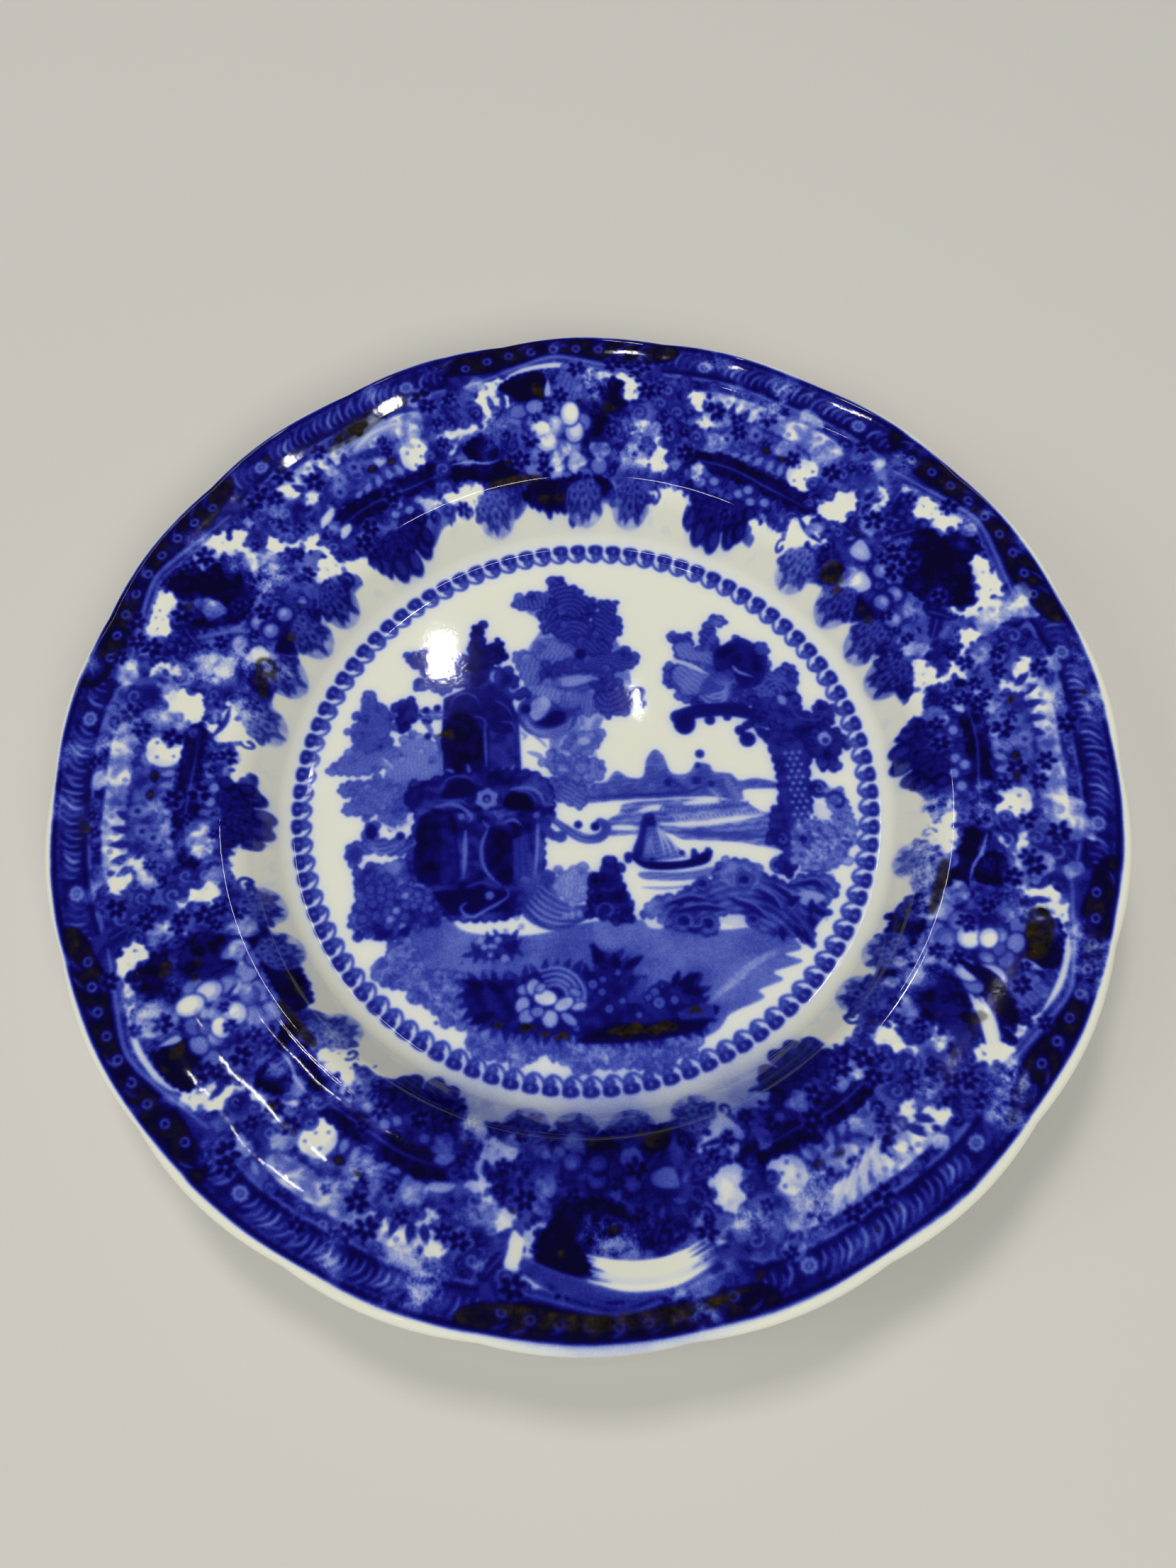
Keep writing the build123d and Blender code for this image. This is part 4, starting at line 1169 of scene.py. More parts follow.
def right_tree():
    lobe([(23.2, 44.4), (26, 44.2), (29.6, 44.6), (30, 42), (30.6, 40), (32, 41), (32.2, 44), (33.4, 46.6),
        (35.4, 48.8), (37, 49.4), (39.4, 47.4), (38, 46), (36, 46), (36.4, 43), (37, 40.4), (40, 40),
        (40.4, 42), (41.4, 43.4), (42.6, 41), (45, 39.4), (47.4, 40.8), (49.2, 38.6), (48.4, 36),
        (48.2, 33.4), (50, 32), (52.4, 34), (54.6, 33.6), (55.6, 31), (54.6, 26.4), (52, 25.4), (48, 24.6),
        (44, 23.4), (40, 23.4), (36, 24), (30, 23.6), (27, 26), (25.4, 28.6), (22, 30.4), (22.4, 32.4),
        (24, 33.4), (22, 35), (23.4, 36.6), (26, 36), (25.2, 39), (25, 42)], 0.62,
        both(hatch(-45, 1.3, 0.1), grit(0, 0.08)))
    blob([(25.6, 41.6), (29, 42), (30.6, 39.6), (34.4, 38.6), (34.4, 35.4), (31, 36.6), (26.4, 38)], 0.42,
        hatch(-60, 1.1, 0.09))
    blob([(24, 33), (26, 35.6), (30, 34), (34, 31.6), (32, 28), (27, 27.4), (25.6, 29.6)], 0.42,
        hatch(-50, 1.2, 0.12))
    blob([(35, 38), (38, 40.6), (42, 42.4), (46, 40), (48.4, 37), (48, 33), (46, 29), (41, 28), (39.4, 33),
        (35.4, 33.4)], 0.86, grit(0, 0.08))
    blob([(32, 31), (36, 33), (39, 31), (38, 26.4), (34, 24.4), (30.6, 27)], 0.6)
    dab(47.4, 38.6, 1.8, 0.62)
    blob([(36.6, 48), (38.2, 47), (36.6, 46.4), (35.6, 47)], 0.42)
    stroke([(24.6, 37.4), (28.6, 35.6), (33.4, 32.6)], 1.3, 0.1)
    stroke([(39.6, 34.6), (40.8, 32.8), (44.6, 31)], 0.9, 0.24)
    for reach in (0, 1.3, 2.6):
        stroke([(30.6 + reach, 26.8), (32.8 + reach * 0.8, 24.7 + reach * 0.9),
            (36 + 0.2 * reach, 24.8 + reach), (38.4, 27.6 + reach)], 0.75, 0.26)
    for reach in (0, 1.3, 2.6):
        stroke([(34 + reach, 31.4), (36 + reach, 29.6), (38.6 + reach * 0.6, 28.8 + reach)], 0.45, 0.4)
    stroke([(24.4, 21.4), (30, 22.6), (38, 22.4), (45, 20)], 3.6, 0.86, (1, 0.8))
    dab(26, 19.6, 2.7, 0.88, 1.15)
    dabs([(32.4, 19.9, 1.3), (36.8, 20.4, 1.0), (41.2, 14, 2.0), (39.6, 16.6, 1.3)], 0.84)
    stroke([(39.6, 16.6), (43, 18.4), (48, 17.6)], 2.2, 0.82)
    stroke([(44, 16.6), (45.6, 15), (47, 14.6)], 2.6, 0.84)
    stroke([(42, 24), (44.6, 22.6), (47, 19)], 0.8, 0.4)
    lobe([(44, 24), (50, 25), (55, 24.6), (55.6, 21), (58.4, 20), (58.6, 22), (60.4, 23), (62.4, 21),
        (63, 17), (58, 15.4), (50, 15.6), (45, 18)], 0.74, grit(0, 0.08))
    for reach in (0, 1.3, 2.6):
        curl(50, 26, 4.8 - reach, 3.6 - reach, 190, 20, 0.5, 0.46)
    curl(54, 23.6, 3.0, 0.8, 190, -90, 0.7, 0.9)
    stroke([(52.6, 22.4), (54.6, 19), (59, 18), (61.6, 20)], 0.5, 0.5)
    blob([(50, 25.4), (52, 24.8), (51.6, 22.6), (50, 23.4)], 0.26)
    lobe([(54.6, 15), (60, 16.2), (64, 14.6), (65.4, 12), (64, 9.6), (62.6, 7), (62, 4), (60, 4.6),
        (58.6, 4.4), (57.4, 7.6), (56, 9)], 0.78, grit(0, 0.06))
    blob([(58.6, 13.6), (60.6, 14.8), (62, 12.6), (60.6, 10.8), (59, 11.6)], 0.2)
    dab(60.4, 12.2, 0.9, 0.7)


def foreground():
    lobe([(-53, -38.4), (-50, -35), (-46, -31.6), (-42, -33.6), (-40, -40), (-44, -43), (-50, -42)], 0.46,
        grit(0.16, 0.12), rim=0.14)
    lobe([(-44, -45.6), (-41, -40), (-32, -40), (-30, -45), (-28, -50), (-28, -54), (-34, -52.4),
        (-38, -49.6), (-41, -47)], 0.46, grit(0.16, 0.12), rim=0.14)
    lobe([(-31, -57), (-28, -60), (-22, -61.6), (-18, -62.6), (-14, -60.4), (-10, -62.6), (-5, -64.4),
        (3, -64.6), (10, -65.4), (15, -64.6), (19, -62.4), (22, -60), (24, -57), (15, -56), (0, -57),
        (-15, -53), (-26, -54)], 0.44, grit(0.18, 0.14), rim=0.1)
    dots = np.random.default_rng(9)
    for _ in range(150):
        x, y = dots.uniform(-52, 20), dots.uniform(-64, -34)
        if math.hypot(x, y) < 64.5 and (x < -30 or y < -57):
            dab(x, y, dots.uniform(0.3, 0.6), 0.66)
    fringe([(-30, -36), (-28, -34), (-24, -31.6), (-19, -32), (-18, -35), (-19, -37), (-24, -37.6),
        (-28, -36.8)], 0.8, 1.8, 2.0, 42)
    dabs([(-27, -32.8, 0.95), (-26.2, -34.4, 0.8), (-24.6, -34.2, 0.7), (-22.8, -32.8, 0.9),
        (-21, -30.8, 0.7), (-17.2, -30, 0.85), (-21.4, -37.4, 1.0), (-24.8, -36.4, 0.7),
        (-18.2, -27.8, 0.7), (-23.6, -34.4, 0.6)], 0.26)
    fringe([(-31, -43), (-26, -42), (-20, -42.6), (-14, -41), (-6, -41), (0, -42), (2, -39), (4.6, -38.4),
        (5.4, -40), (9, -44), (10.6, -48), (15, -47), (19, -45.4), (23, -46), (24, -50), (25.6, -54),
        (22, -57), (5, -58.4), (-4, -57), (-14, -56), (-22, -54.6), (-28, -52), (-31, -48)], 0.84, 2.6, 2.4,
        41)
    for x, y, heading, size in ((0.6, -41, 100, 6.2), (2, -40, 125, 6), (5, -43, 100, 5.6),
            (6, -42, 30, 6), (17, -47, 60, 4.6), (18.6, -47, 30, 6.4), (19, -48, -5, 6), (22, -52, -40, 6),
            (-26, -44, 160, 6), (-24, -50, 200, 7), (-22, -46, 140, 6), (20.4, -54, -60, 6)):
        leaf(x, y, heading, size, size * 0.34, 0.98)
    blob([(8.6, -46), (10.4, -44), (12.4, -48), (11, -50), (6, -49.6)], 0.5, None, 0.6)
    for x, y, size in ((13, -47.9, 1.1), (13.8, -50.4, 1.4), (17.4, -50, 1.0), (11.4, -49, 0.8),
            (2.2, -51, 1.0), (-1.2, -45, 1.1), (1.2, -44, 0.8), (4.8, -42.6, 0.8), (0.8, -47, 0.9),
            (9, -53, 0.8), (5.4, -49.4, 0.8), (-5.6, -55, 0.8)):
        dab(x, y, size + 0.4, 0.92)
        dab(x, y, size, 0.4)
        dab(x, y, size * 0.4, 0.6)
    dab(-11.6, -48, 8.4, 0.9, 0.86)
    for size in (7.2, 5.8, 4.4, 3.2):
        curl(-10.4, -47.6, size, size, 115, -25, 1.0, 0.34)
    for x, y, size, squash, angle, tone in ((-17.8, -48.7, 2.0, 0.8, 60, 0.2),
            (-16.9, -51.5, 2.0, 0.8, 30, 0.26), (-17.5, -45.2, 1.5, 0.8, 0, 0.3),
            (-15, -44.8, 1.7, 1.2, 0, 0.2), (-11.6, -52.4, 2.1, 0.9, 90, 0.18),
            (-14.4, -50.6, 1.5, 0.8, 0, 0.3), (-7.2, -52.8, 2.2, 0.5, -40, 0.24),
            (-4.7, -50, 1.9, 0.5, 10, 0.2), (-8.2, -49.2, 2.4, 0.6, 25, 0.14),
            (-5.4, -46.6, 1.5, 0.6, -30, 0.36), (-12.4, -47.4, 2.7, 0.7, -10, 0.06),
            (-13.4, -45, 1.3, 0.7, 40, 0.3)):
        dab(x, y, size + 0.4, 0.84, squash, angle)
        dab(x, y, size, tone, squash, angle, grit(0, 0.05))
    blob([(-4, -57), (3, -54.6), (12, -55), (20, -53.4), (25, -51.6), (27.4, -53), (23, -57), (15, -58.6),
        (5, -59), (-5, -58.4)], 1.02)
    for x, y, size in ((5, -56.4, 2.0), (8.6, -56, 1.7), (15, -56, 1.7), (11.6, -56.6, 1.5),
            (-17, -54, 1.4), (-9, -56.6, 1.3), (-13, -55.8, 0.9), (22, -52.6, 1.3), (-33.6, 21, 1.6),
            (-23.6, -53, 1.0)):
        turn = np.linspace(0, 2 * math.pi, 14, endpoint=False)
        wave = size * (1 + 0.35 * np.sin(3 * turn + x))
        fill(np.stack([x + 1.3 * wave * np.cos(turn), y + 0.7 * wave * np.sin(turn)], 1), 1.0, sheet=scorch)
    for x in np.arange(18, 26, 0.7):
        stroke([(x, -52.6 + (x - 18) * 0.25), (x + 0.4, -54), (x + 0.8, -55)], 0.35, 0.3)


BEADS = 96


def bead_ring():
    """Squarish beads with a light eye, each with a smaller one at its foot that links it on."""
    for number in range(BEADS):
        frame_of[0] = Border(360 * number / BEADS + 1.4)
        blob([(-2.4, 71.4), (0.0, 71.8), (2.3, 71.4), (2.6, 70.1), (2.0, 69.4), (0.4, 69.1), (-1.9, 69.5),
            (-2.8, 70.4)], 0.84)
        dab(0.1, 70.4, 0.62, 0.42)
        blob([(-1.0, 69.5), (1.0, 69.6), (2.2, 69.0), (2.2, 68.0), (0.8, 67.4), (-0.8, 67.7), (-1.6, 68.6)],
            0.64)
        dab(0.4, 68.5, 0.46, 0.36)
        stroke([(1.6, 68.0), (0.2, 67.2), (-1.8, 67.3), (-3.5, 68.2), (-4.3, 69.4)], 0.75, 0.64, (0.9, 0.8))
    frame_of[0] = Flat


centre_scene = (ground_and_water, boat, left_leaves, centre_tree, big_scroll, tower, gatehouse, left_base,
    right_base, bank, urn_and_trellis, right_tree, foreground, bead_ring)
for part in centre_scene:
    part()


# ---------------------------------------------------------------------------------------------
# The cobalt's flow in the kiln
# ---------------------------------------------------------------------------------------------

ink = soften(ink, 0.24) * 0.76 + soften(ink, 1.3) * 0.33
scorch = soften(scorch, 0.25)

# The border took more ink than the middle: its darks are blacker and its clear glaze is cleaner.
rows, columns = (np.mgrid[0:SIDE, 0:SIDE] + 0.5) / CELLS - REACH
on_border = np.clip((np.hypot(columns - BORDER_X, rows - BORDER_Y) - 76.0) / 5.0, 0, 1)
ink = np.clip(ink + on_border * 0.22 * (ink - 0.56), 0, 1.12)
thin = on_border * np.clip(CLOUD - 0.5, 0, 1.3) * np.clip(1.0 + 0.5 * MOTTLE + 0.25 * SPECKLE, 0, 2)
ink = (ink * (1.0 - np.clip(0.3 * thin, 0, 0.7))).astype(np.float32)


# ---------------------------------------------------------------------------------------------
# The plate's section and its layers, following the CAD plate
# ---------------------------------------------------------------------------------------------

RIM_RADIUS = 124.0
SCALLOP_HEIGHT = 0.9
SCALLOPS_FROM = 98          # radius where the scallops begin, and how far they take to grow
SCALLOPS_GROW = 24
DISH_DEPTH = 0.42           # of the shallow trough that runs round the border's face
DISH_WIDTH = 28.0
DISH_INNER, DISH_OUTER = 88, 123
FLOOR_TOP = 5.2
FLOOR_RADIUS = 69.5
COVE_RADIUS = 7.5
WALL = math.radians(52)
WALL_RUN = 4.6
SHOULDER_RADIUS = 13.0
BORDER = math.radians(12)
RIM_THICKNESS = 3.4
LIP_TOP_ROUND = 1.5
LIP_UNDER_ROUND = 1.2
UNDER_BORDER = (84.9, 14.7)
UNDER_WALL = (75.4, 2.4)
UNDER_BORDER_ROUND = 11.0
UNDER_WALL_ROUND = 3.0
UNDERSIDE_END = 130.0       # where the CAD's section crosses the underside before it is trimmed
FOOT_INNER = 68.2
FOOT_OUTER = 71.2
FOOT_INNER_DRAFT = 1.0
FOOT_OUTER_DRAFT = 1.4
FOOT_RECESS = 1.6
FOOT_RISE = 1.9
FOOT_CORNER = 1.2
BARE_EDGE = 0.9
LAYER = 0.46                # thickness of a glaze layer, a little under the CAD's

FACE_SPACING = 0.34         # between the face mesh's rings, and between the points along a ring
BACK_SPACING = 0.8
HIDDEN_SPACING = 3.0        # on the side of a layer that faces the body
SHARP = math.radians(50)    # an edge that turns by more than this isn't shaded smooth
UV_REACH = 126.5            # half the width of plate that the baked picture holds
UV_CORNER = 0.055           # where the hidden side is tucked away in that picture


class Section:
    """A half section walked as runs and arcs, in radius and height, sampled as it goes."""

    def __init__(self, radius, height, spacing):
        self.points = [(radius, height)]
        self.spacing = spacing

    def run(self, radius, height):
        r, z = self.points[-1]
        steps = max(round(math.hypot(radius - r, height - z) / self.spacing), 1)
        for step in range(1, steps + 1):
            self.points.append((r + (radius - r) * step / steps, z + (height - z) * step / steps))

    def arc(self, size, start, end):
        """An arc from one heading to another, where heading 0 is outwards and pi / 2 is up."""
        steps = max(round(abs(end - start) * size / self.spacing), 4)
        side = math.copysign(size, end - start)
        r, z = self.points[-1]
        middle = (r - side * math.sin(start), z + side * math.cos(start))
        for step in range(1, steps + 1):
            a = start + (end - start) * step / steps
            self.points.append((middle[0] + side * math.sin(a), middle[1] - side * math.cos(a)))

    def corner(self, corner, after, size):
        """A straight run towards a corner, and a rounded turn there towards the next point."""
        r, z = self.points[-1]
        start = math.atan2(corner[1] - z, corner[0] - r)
        end = math.atan2(after[1] - corner[1], after[0] - corner[0])
        turn = (end - start + math.pi) % (2 * math.pi) - math.pi
        cut = size * abs(math.tan(turn / 2))
        self.run(corner[0] - cut * math.cos(start), corner[1] - cut * math.sin(start))
        self.arc(size, start, start + turn)


def border_height(radius):
    """Height of the face's straight border, carried on past the lip."""
    start_r = FLOOR_RADIUS + COVE_RADIUS * math.sin(WALL) + WALL_RUN
    start_r = start_r + SHOULDER_RADIUS * (math.sin(WALL) - math.sin(BORDER))
    start_z = FLOOR_TOP + COVE_RADIUS * (1 - math.cos(WALL)) + WALL_RUN * math.tan(WALL)
    start_z = start_z + SHOULDER_RADIUS * (math.cos(BORDER) - math.cos(WALL))
    return start_z + (radius - start_r) * math.tan(BORDER)


def face_section():
    """From the centre out over the face to the lip's outermost line."""
    path = Section(0, FLOOR_TOP, FACE_SPACING)
    path.run(FLOOR_RADIUS, FLOOR_TOP)
    path.arc(COVE_RADIUS, 0, WALL)
    r, z = path.points[-1]
    path.run(r + WALL_RUN, z + WALL_RUN * math.tan(WALL))
    path.arc(SHOULDER_RADIUS, WALL, BORDER)
    path.corner((RIM_RADIUS, border_height(RIM_RADIUS)), (RIM_RADIUS, 0), LIP_TOP_ROUND)
    return path.points


def back_section():
    """From the lip's outermost line in under the border and the wall, and down the foot ring."""
    rise = border_height(UNDERSIDE_END) - RIM_THICKNESS - UNDER_BORDER[1]
    slope = math.atan2(rise, UNDERSIDE_END - UNDER_BORDER[0])
    turn_r = RIM_RADIUS - LIP_UNDER_ROUND * (1 - math.sin(slope))
    turn_z = UNDER_BORDER[1] + (turn_r - UNDER_BORDER[0]) * math.tan(slope)
    foot_top = (FOOT_OUTER + FOOT_OUTER_DRAFT, FOOT_RISE)
    path = Section(*face_section()[-1], BACK_SPACING)
    path.run(RIM_RADIUS, turn_z + LIP_UNDER_ROUND * math.cos(slope))
    path.arc(LIP_UNDER_ROUND, -math.pi / 2, slope - math.pi)
    path.corner(UNDER_BORDER, UNDER_WALL, UNDER_BORDER_ROUND)
    path.corner(UNDER_WALL, foot_top, UNDER_WALL_ROUND)
    path.corner(foot_top, (FOOT_OUTER, 0), FOOT_CORNER)
    path.run(FOOT_OUTER + FOOT_OUTER_DRAFT * BARE_EDGE / FOOT_RISE, BARE_EDGE)
    return path.points


def foot_well_section():
    """From the bare edge up the foot ring's inner side and in to the centre of the underside."""
    path = Section(FOOT_INNER - FOOT_INNER_DRAFT * BARE_EDGE / FOOT_RECESS, BARE_EDGE, BACK_SPACING)
    path.corner((FOOT_INNER - FOOT_INNER_DRAFT, FOOT_RECESS), (0, FOOT_RECESS), FOOT_CORNER)
    path.run(0, FOOT_RECESS)
    return path.points


def hidden_side(points):
    """The layer's other side, walked back from the section's end to its start."""
    p = np.array(points)
    along = np.gradient(p, axis=0)
    along /= np.hypot(*along.T)[:, None]
    inner = p + LAYER * np.stack([along[:, 1], -along[:, 0]], 1)
    inner[p[:, 0] < 1e-6, 0] = 0
    gone = np.concatenate([[0], np.cumsum(np.hypot(*np.diff(p, axis=0).T))])
    steps = max(int(gone[-1] / HIDDEN_SPACING), 2)
    keep = np.unique(np.searchsorted(gone, np.linspace(0, gone[-1], steps)).clip(0, len(p) - 1))
    return inner[keep][::-1].tolist()


def moved(x, y, z, dish):
    """The scallops, the slight sway of a hand-finished rim, and the border's shallow trough."""
    radius, angle = np.hypot(x, y), np.arctan2(y, x)
    turn = (np.degrees(angle) - SCALLOP_PHASE) * SCALLOP_COUNT / 360
    away = 1 - np.sqrt((1 - 2 * np.abs(turn - np.round(turn))) ** 2 + 0.001)
    near = np.clip((radius - SCALLOPS_FROM) / SCALLOPS_GROW, 0, 1)
    near = near * near * (3 - 2 * near)
    grow = 1 + near * SCALLOP_HEIGHT * (0.5 - away ** 2) / np.maximum(radius, 1)
    sway = 0.2 * np.cos(2 * math.pi * turn) + 0.1 * np.sin(3 * angle + 0.7)
    dished = np.clip((radius - DISH_INNER) / 8, 0, 1) * np.clip((DISH_OUTER - radius) / 10, 0, 1)
    trough = 98 + 1.2 * np.sin(2 * angle + 0.5) + 0.4 * np.sin(11 * angle) + 0.25 * np.sin(37 * angle)
    swell = dish * dished * (0.6 - np.cos((radius - trough) * 2 * math.pi / DISH_WIDTH))
    return x * grow, y * grow, z + near * sway + swell


def stitched(first, m, second, n):
    """Triangles between two rings of m and n points, whose numbers start at first and second."""
    faces = []
    if m > 1:
        i = np.arange(m)
        j = np.ceil((i + 0.5) * n / m - 0.5).astype(int) % n
        faces.append(np.stack([first + i, second + j, first + (i + 1) % m], 1))
    if n > 1:
        j = np.arange(n)
        i = (np.floor((j + 0.5) * m / n - 0.5).astype(int) + 1) % m
        faces.append(np.stack([second + j, second + (j + 1) % n, first + i], 1))
    return np.vstack(faces)


def layer(name, section, spacing, dish=0.0):
    """A thin closed layer that follows a section right round the plate, and its shown points."""
    back = hidden_side(section)
    rings = [(r, z, spacing) for r, z in section] + [(r, z, HIDDEN_SPACING) for r, z in back]
    counts = [max(round(2 * math.pi * r / gap), 1) for r, z, gap in rings]
    starts = np.concatenate([[0], np.cumsum(counts)])
    angle = np.concatenate([np.arange(n) * (2 * math.pi / n) for n in counts])
    radius = np.repeat([r for r, z, gap in rings], counts)
    height = np.repeat([z for r, z, gap in rings], counts)
    x, y, z = moved(radius * np.cos(angle), radius * np.sin(angle), height, dish)
    pairs = [(i, i + 1) for i in range(len(rings) - 1)]
    if counts[0] > 1:
        pairs.append((len(rings) - 1, 0))
    pairs = [(a, b) for a, b in pairs if counts[a] + counts[b] > 2]
    faces = np.vstack([stitched(starts[a], counts[a], starts[b], counts[b]) for a, b in pairs])
    mesh = bpy.data.meshes.new(name)
    mesh.vertices.add(len(x))
    mesh.vertices.foreach_set("co", (np.stack([x, y, z], 1) * MM).ravel().astype(np.float32))
    mesh.loops.add(faces.size)
    mesh.loops.foreach_set("vertex_index", faces.ravel().astype(np.int32))
    mesh.polygons.add(len(faces))
    mesh.polygons.foreach_set("loop_start", np.arange(0, faces.size, 3, dtype=np.int32))
    mesh.polygons.foreach_set("use_smooth", np.ones(len(faces), bool))
    mesh.update(calc_edges=True)
    mesh.set_sharp_from_angle(angle=SHARP)
    shown = starts[len(section)]
    hidden = (faces >= shown).any(1)[:, None, None]
    plan = np.stack([x[faces], y[faces]], 2) / (2 * UV_REACH)
    plan = np.where(hidden, plan * 2 * UV_CORNER * 0.9 + UV_CORNER, plan + 0.5)
    uv = mesh.uv_layers.new(name="OFBake")
    uv.data.foreach_set("uv", plan.ravel().astype(np.float32))
    piece = bpy.data.objects.new(name, mesh)
    bpy.context.scene.collection.objects.link(piece)
    return piece, x, y, shown


def carry(piece, name, sheet, x, y, shown):
    """Gives the piece's own points the value of a drawn sheet where they lie."""
    u, v = (np.clip((place + REACH) * CELLS - 0.5, 0, SIDE - 1.001) for place in (x, y))
    i, j = u.astype(int), v.astype(int)
    fu, fv = u - i, v - j
    south = sheet[j, i] * (1 - fu) + sheet[j, i + 1] * fu
    north = sheet[j + 1, i] * (1 - fu) + sheet[j + 1, i + 1] * fu
    value = south * (1 - fv) + north * fv
    value[shown:] = 0
    attribute = piece.data.attributes.new(name, "FLOAT", "POINT")
    attribute.data.foreach_set("value", value.astype(np.float32))


# ---------------------------------------------------------------------------------------------
# Materials
# ---------------------------------------------------------------------------------------------

def linear(*rgb):
    """A colour given in the 0-255 values that a screen shows, as the shader's own numbers."""
    return tuple((c / 255 / 12.92 if c < 11 else ((c / 255 + 0.055) / 1.055) ** 2.4) for c in rgb) + (1,)


class Nodes:
    """A material and a short way to add nodes to it."""

    def __init__(self, name):
        self.material = bpy.data.materials.new(name)
        self.material.use_nodes = True
        self.tree = self.material.node_tree
        self.shader = self.tree.nodes["Principled BSDF"]

    def add(self, kind, inputs=(), **settings):
        node = self.tree.nodes.new("ShaderNode" + kind)
        for key, value in settings.items():
            setattr(node, key, value)
        for key, value in dict(inputs).items():
            self.set(node.inputs[key], value)
        return node

    def set(self, socket, value):
        if isinstance(value, bpy.types.NodeSocket):
            self.tree.links.new(value, socket)
        else:
            socket.default_value = value

    def maths(self, operation, a, b, clamp=False):
        return self.add("Math", {0: a, 1: b}, operation=operation, use_clamp=clamp).outputs[0]

    def plus(self, a, b):
        return self.maths("ADD", a, b)

    def times(self, a, b):
        return self.maths("MULTIPLY", a, b)

    def noise(self, scale, detail, roughness):
        place = self.add("TexCoord").outputs["Object"]
        inputs = {"Vector": place, "Scale": scale, "Detail": detail, "Roughness": roughness}
        return self.add("TexNoise", inputs).outputs["Fac"]

    def ramp(self, value, stops):
        node = self.add("ValToRGB", {"Fac": value})
        marks = node.color_ramp.elements
        while len(marks) < len(stops):
            marks.new(0.5)
        for mark, (spot, colour) in zip(marks, stops):
            mark.position = spot
        for mark, (spot, colour) in zip(marks, stops):
            mark.color = colour
        return node.outputs["Color"]

    def blend(self, share, a, b):
        node = self.add("Mix", {"Factor": share}, data_type="RGBA")
        self.set(node.inputs[6], a)
        self.set(node.inputs[7], b)
        return node.outputs[2]

    def bump(self, height, strength, distance):
        inputs = {"Height": height, "Strength": strength, "Distance": distance}
        return self.add("Bump", inputs).outputs["Normal"]

    def finish(self, **sockets):
        for key, value in sockets.items():
            self.set(self.shader.inputs[key.replace("_", " ")], value)
        return self.material


def glazed(n, colour):
    """Clear glossy glaze over a colour, with the faint orange peel that ruffles its highlights."""
    peel = n.times(n.noise(330.0, 2.0, 0.5), 0.22)
    normal = n.bump(n.plus(peel, n.noise(38.0, 1.0, 0.4)), 0.09, 0.0006)
    return n.finish(Base_Color=colour, Normal=normal, Roughness=0.045, IOR=1.5)


def printed_face():
    """Cobalt print under glaze: pale where little ink settled, near black where it gathered thickest."""
    n = Nodes("printed_glaze")
    drawn = n.add("Attribute", attribute_name="ink").outputs["Fac"]
    burnt = n.add("Attribute", attribute_name="scorch").outputs["Fac"]
    grain = n.times(n.maths("SUBTRACT", n.noise(1900.0, 2.0, 0.6), 0.5), 0.22)
    cloud = n.times(n.maths("SUBTRACT", n.noise(240.0, 3.0, 0.55), 0.5), 0.16)
    share = n.maths("MULTIPLY", drawn, n.maths("SUBTRACT", 1.25, drawn), clamp=True)
    value = n.times(n.plus(drawn, n.times(n.plus(grain, cloud), n.times(share, 2.4))), 0.9)
    blue = n.ramp(value, [(0.00, linear(222, 222, 207)), (0.07, linear(205, 210, 213)),
        (0.20, linear(150, 161, 208)), (0.36, linear(94, 108, 188)), (0.50, linear(58, 71, 164)),
        (0.64, linear(33, 38, 139)), (0.78, linear(15, 13, 108)), (0.90, linear(8, 3, 76)),
        (1.00, linear(5, 2, 42))])
    rust = n.ramp(n.noise(420.0, 3.0, 0.6), [(0.35, linear(10, 8, 12)), (0.55, linear(34, 27, 14)),
        (0.72, linear(58, 44, 20))])
    return glazed(n, n.blend(burnt, blue, rust))


def plain_glaze():
    """White glaze over the bare body, a little uneven, with stray specks of blue."""
    n = Nodes("plain_glaze")
    tint = n.ramp(n.noise(30.0, 3.0, 0.6), [(0.35, linear(214, 217, 210)), (0.65, linear(224, 226, 216))])
    speck = n.ramp(n.noise(520.0, 1.0, 0.5), [(0.70, (0, 0, 0, 1)), (0.78, (1, 1, 1, 1))])
    return glazed(n, n.blend(n.times(speck, 0.35), tint, linear(120, 128, 175)))


def bare_biscuit():
    """The unglazed standing edge: dry, cream, and stained here and there."""
    n = Nodes("bare_biscuit")
    tint = n.ramp(n.noise(160.0, 4.0, 0.6), [(0.3, linear(188, 172, 140)), (0.6, linear(214, 203, 176)),
        (0.75, linear(146, 122, 90))])
    normal = n.bump(n.noise(900.0, 3.0, 0.6), 0.4, 0.0003)
    return n.finish(Base_Color=tint, Normal=normal, Roughness=0.85)


# ---------------------------------------------------------------------------------------------
# The pieces
# ---------------------------------------------------------------------------------------------

face, x, y, shown = layer("plate_face", face_section(), FACE_SPACING, DISH_DEPTH)
carry(face, "ink", ink, x, y, shown)
carry(face, "scorch", scorch, x, y, shown)
face.data.materials.append(printed_face())
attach(face, "root")
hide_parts("centre_scene_print", "bead_ring_print", "border_print", "glaze_coat")

PLAIN = plain_glaze()
back = layer("plate_back", back_section(), BACK_SPACING)[0]
back.data.materials.append(PLAIN)
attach(back, "root")
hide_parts("glaze_coat")

foot_well = layer("foot_well", foot_well_section(), BACK_SPACING)[0]
foot_well.data.materials.append(PLAIN)
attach(foot_well, "root")
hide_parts("foot_well_glaze")

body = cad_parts["biscuit_body"]
body.data.materials.clear()
body.data.materials.append(bare_biscuit())


# ---------------------------------------------------------------------------------------------
# Floor, light and camera
# ---------------------------------------------------------------------------------------------

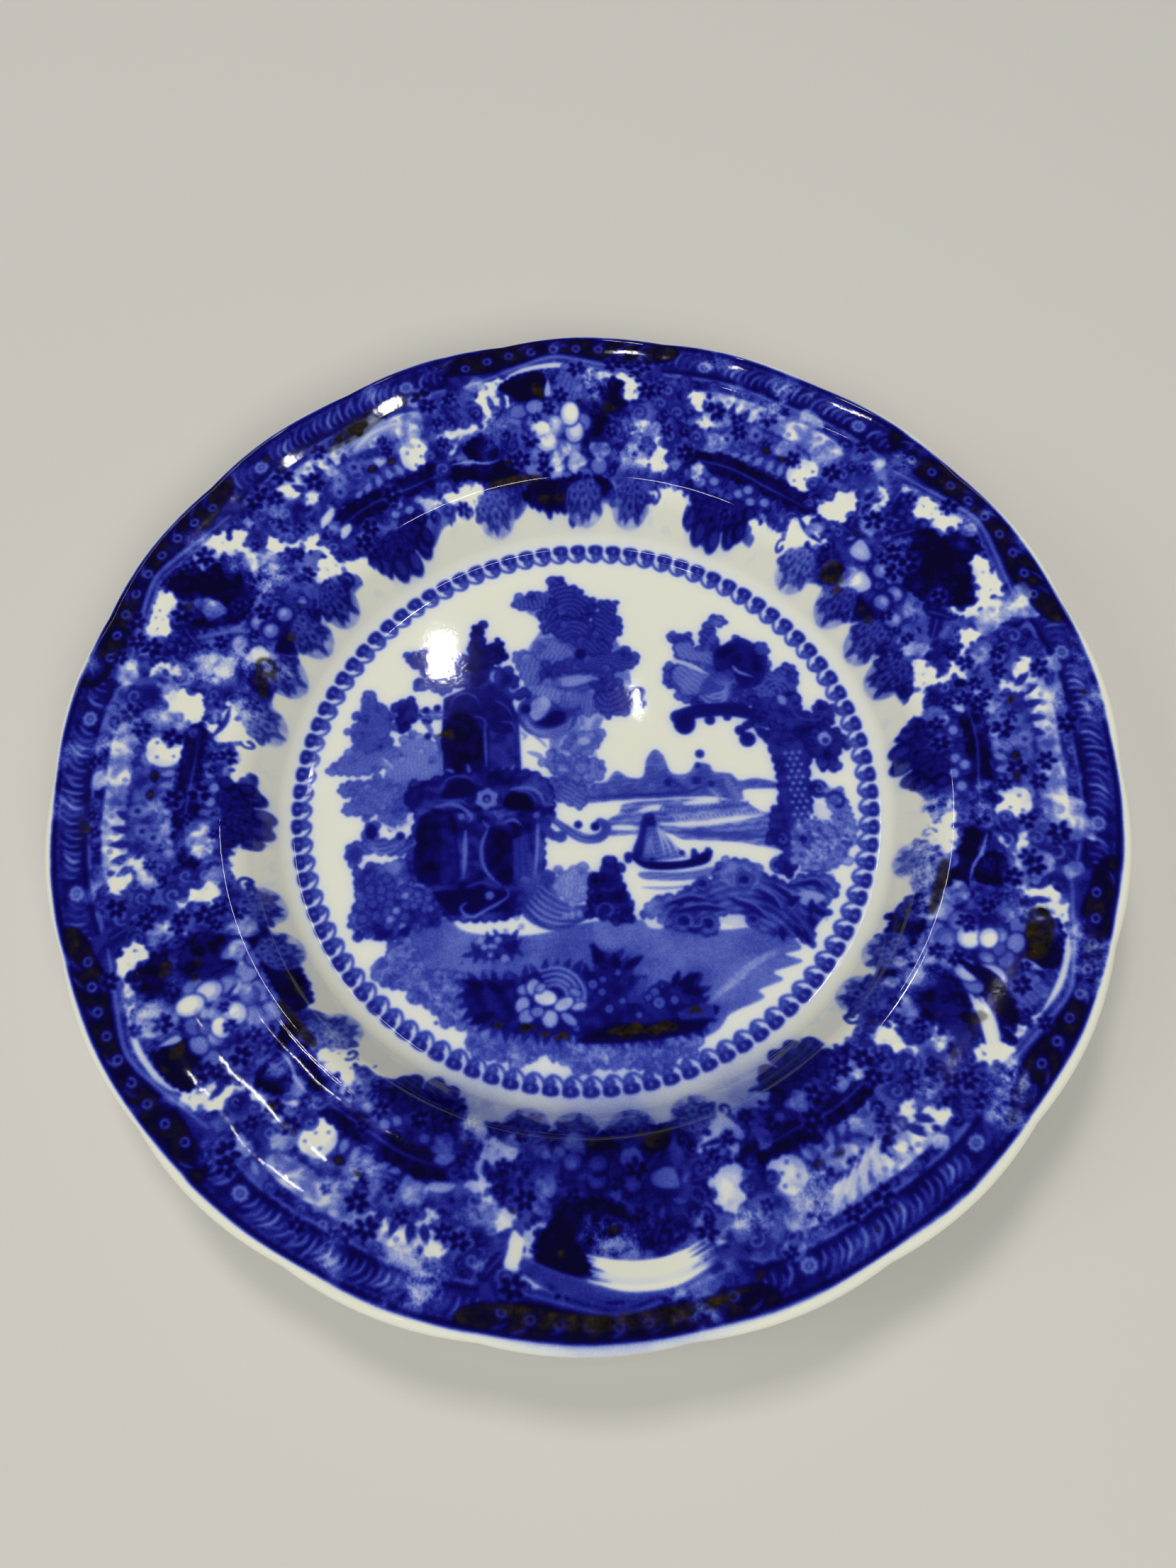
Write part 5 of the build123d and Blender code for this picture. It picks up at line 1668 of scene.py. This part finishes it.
FLOOR_SIDE = 6.0
SKY = (0.86, 0.92, 1.0, 1)
SKY_STRENGTH = 0.045
HIGHLIGHT_HEIGHT = 1.2      # of the small lights that the glaze mirrors
HIGHLIGHT_POWER = 130.0     # of a square metre of them, in watts
CAMERA = Vector((0.00086, -0.1163, 0.3138))
FORWARD = Vector((0.0, 0.3659, -0.9307))
ROLL = math.radians(-3.95)
SENSOR = 36.0
LENS = 30.92
NEAREST = 0.01

bpy.ops.mesh.primitive_plane_add(size=FLOOR_SIDE)
floor = bpy.context.object
floor.name = "floor"
floor.data.materials.append(Nodes("floor").finish(Base_Color=linear(205, 202, 196), Roughness=0.7))

scene = bpy.context.scene
scene.view_settings.view_transform = "Standard"
world = bpy.data.worlds.new("studio")
world.use_nodes = True
sky = world.node_tree.nodes["Background"].inputs
sky["Color"].default_value = SKY
sky["Strength"].default_value = SKY_STRENGTH
scene.world = world


def lamp(name, place, target, size, power, colour=(1, 1, 1), mirrored=False):
    """A rectangular light facing a target, in metres and watts. The glaze shows only mirrored ones."""
    data = bpy.data.lights.new(name, "AREA")
    data.shape = "RECTANGLE"
    data.size, data.size_y = size
    data.energy = power
    data.color = colour
    thing = bpy.data.objects.new(name, data)
    thing.location = place
    thing.rotation_euler = (Vector(target) - Vector(place)).to_track_quat("-Z", "Y").to_euler()
    thing.visible_glossy = mirrored
    scene.collection.objects.link(thing)


def highlight(name, west, east, south, north):
    """A small level light overhead, between those sides, mirrored as a thin ragged line."""
    wide, deep = east - west, north - south
    x, y = (west + east) / 2, (south + north) / 2
    power = HIGHLIGHT_POWER * wide * deep
    lamp(name, (x, y, HIGHLIGHT_HEIGHT), (x, y, 0), (wide, deep), power, mirrored=True)


lamp("key", (-0.25, 0.95, 2.0), (0, 0, 0), (0.5, 0.5), 15, (1, 0.98, 0.94))
lamp("front", (0.4, -1.5, 1.9), (0, 0, 0), (1.6, 1.2), 41, (1, 0.99, 0.96))
lamp("left", (-1.9, -0.2, 1.5), (0, 0, 0), (0.8, 1.4), 12)
highlight("spot_left", -0.185, -0.155, 0.63, 0.69)
highlight("spot_right", 0.064, 0.073, 0.56, 0.60)
highlight("strip_left", -0.23, -0.09, -0.02, -0.01)
highlight("strip_right", 0.02, 0.23, -0.02, -0.01)
highlight("side_left", -0.35, -0.34, 0.5, 0.85)
highlight("side_right", 0.34, 0.35, 0.5, 0.85)

camera_data = bpy.data.cameras.new("camera")
camera_data.sensor_width = SENSOR
camera_data.lens = LENS
camera_data.clip_start = NEAREST
camera = bpy.data.objects.new("camera", camera_data)
level = Vector((1, 0, 0))
upright = level.cross(FORWARD)
right = level * math.cos(ROLL) + upright * math.sin(ROLL)
up = upright * math.cos(ROLL) - level * math.sin(ROLL)
camera.matrix_world = Matrix.Translation(CAMERA) @ Matrix((right, up, -FORWARD)).transposed().to_4x4()
scene.collection.objects.link(camera)
scene.camera = camera
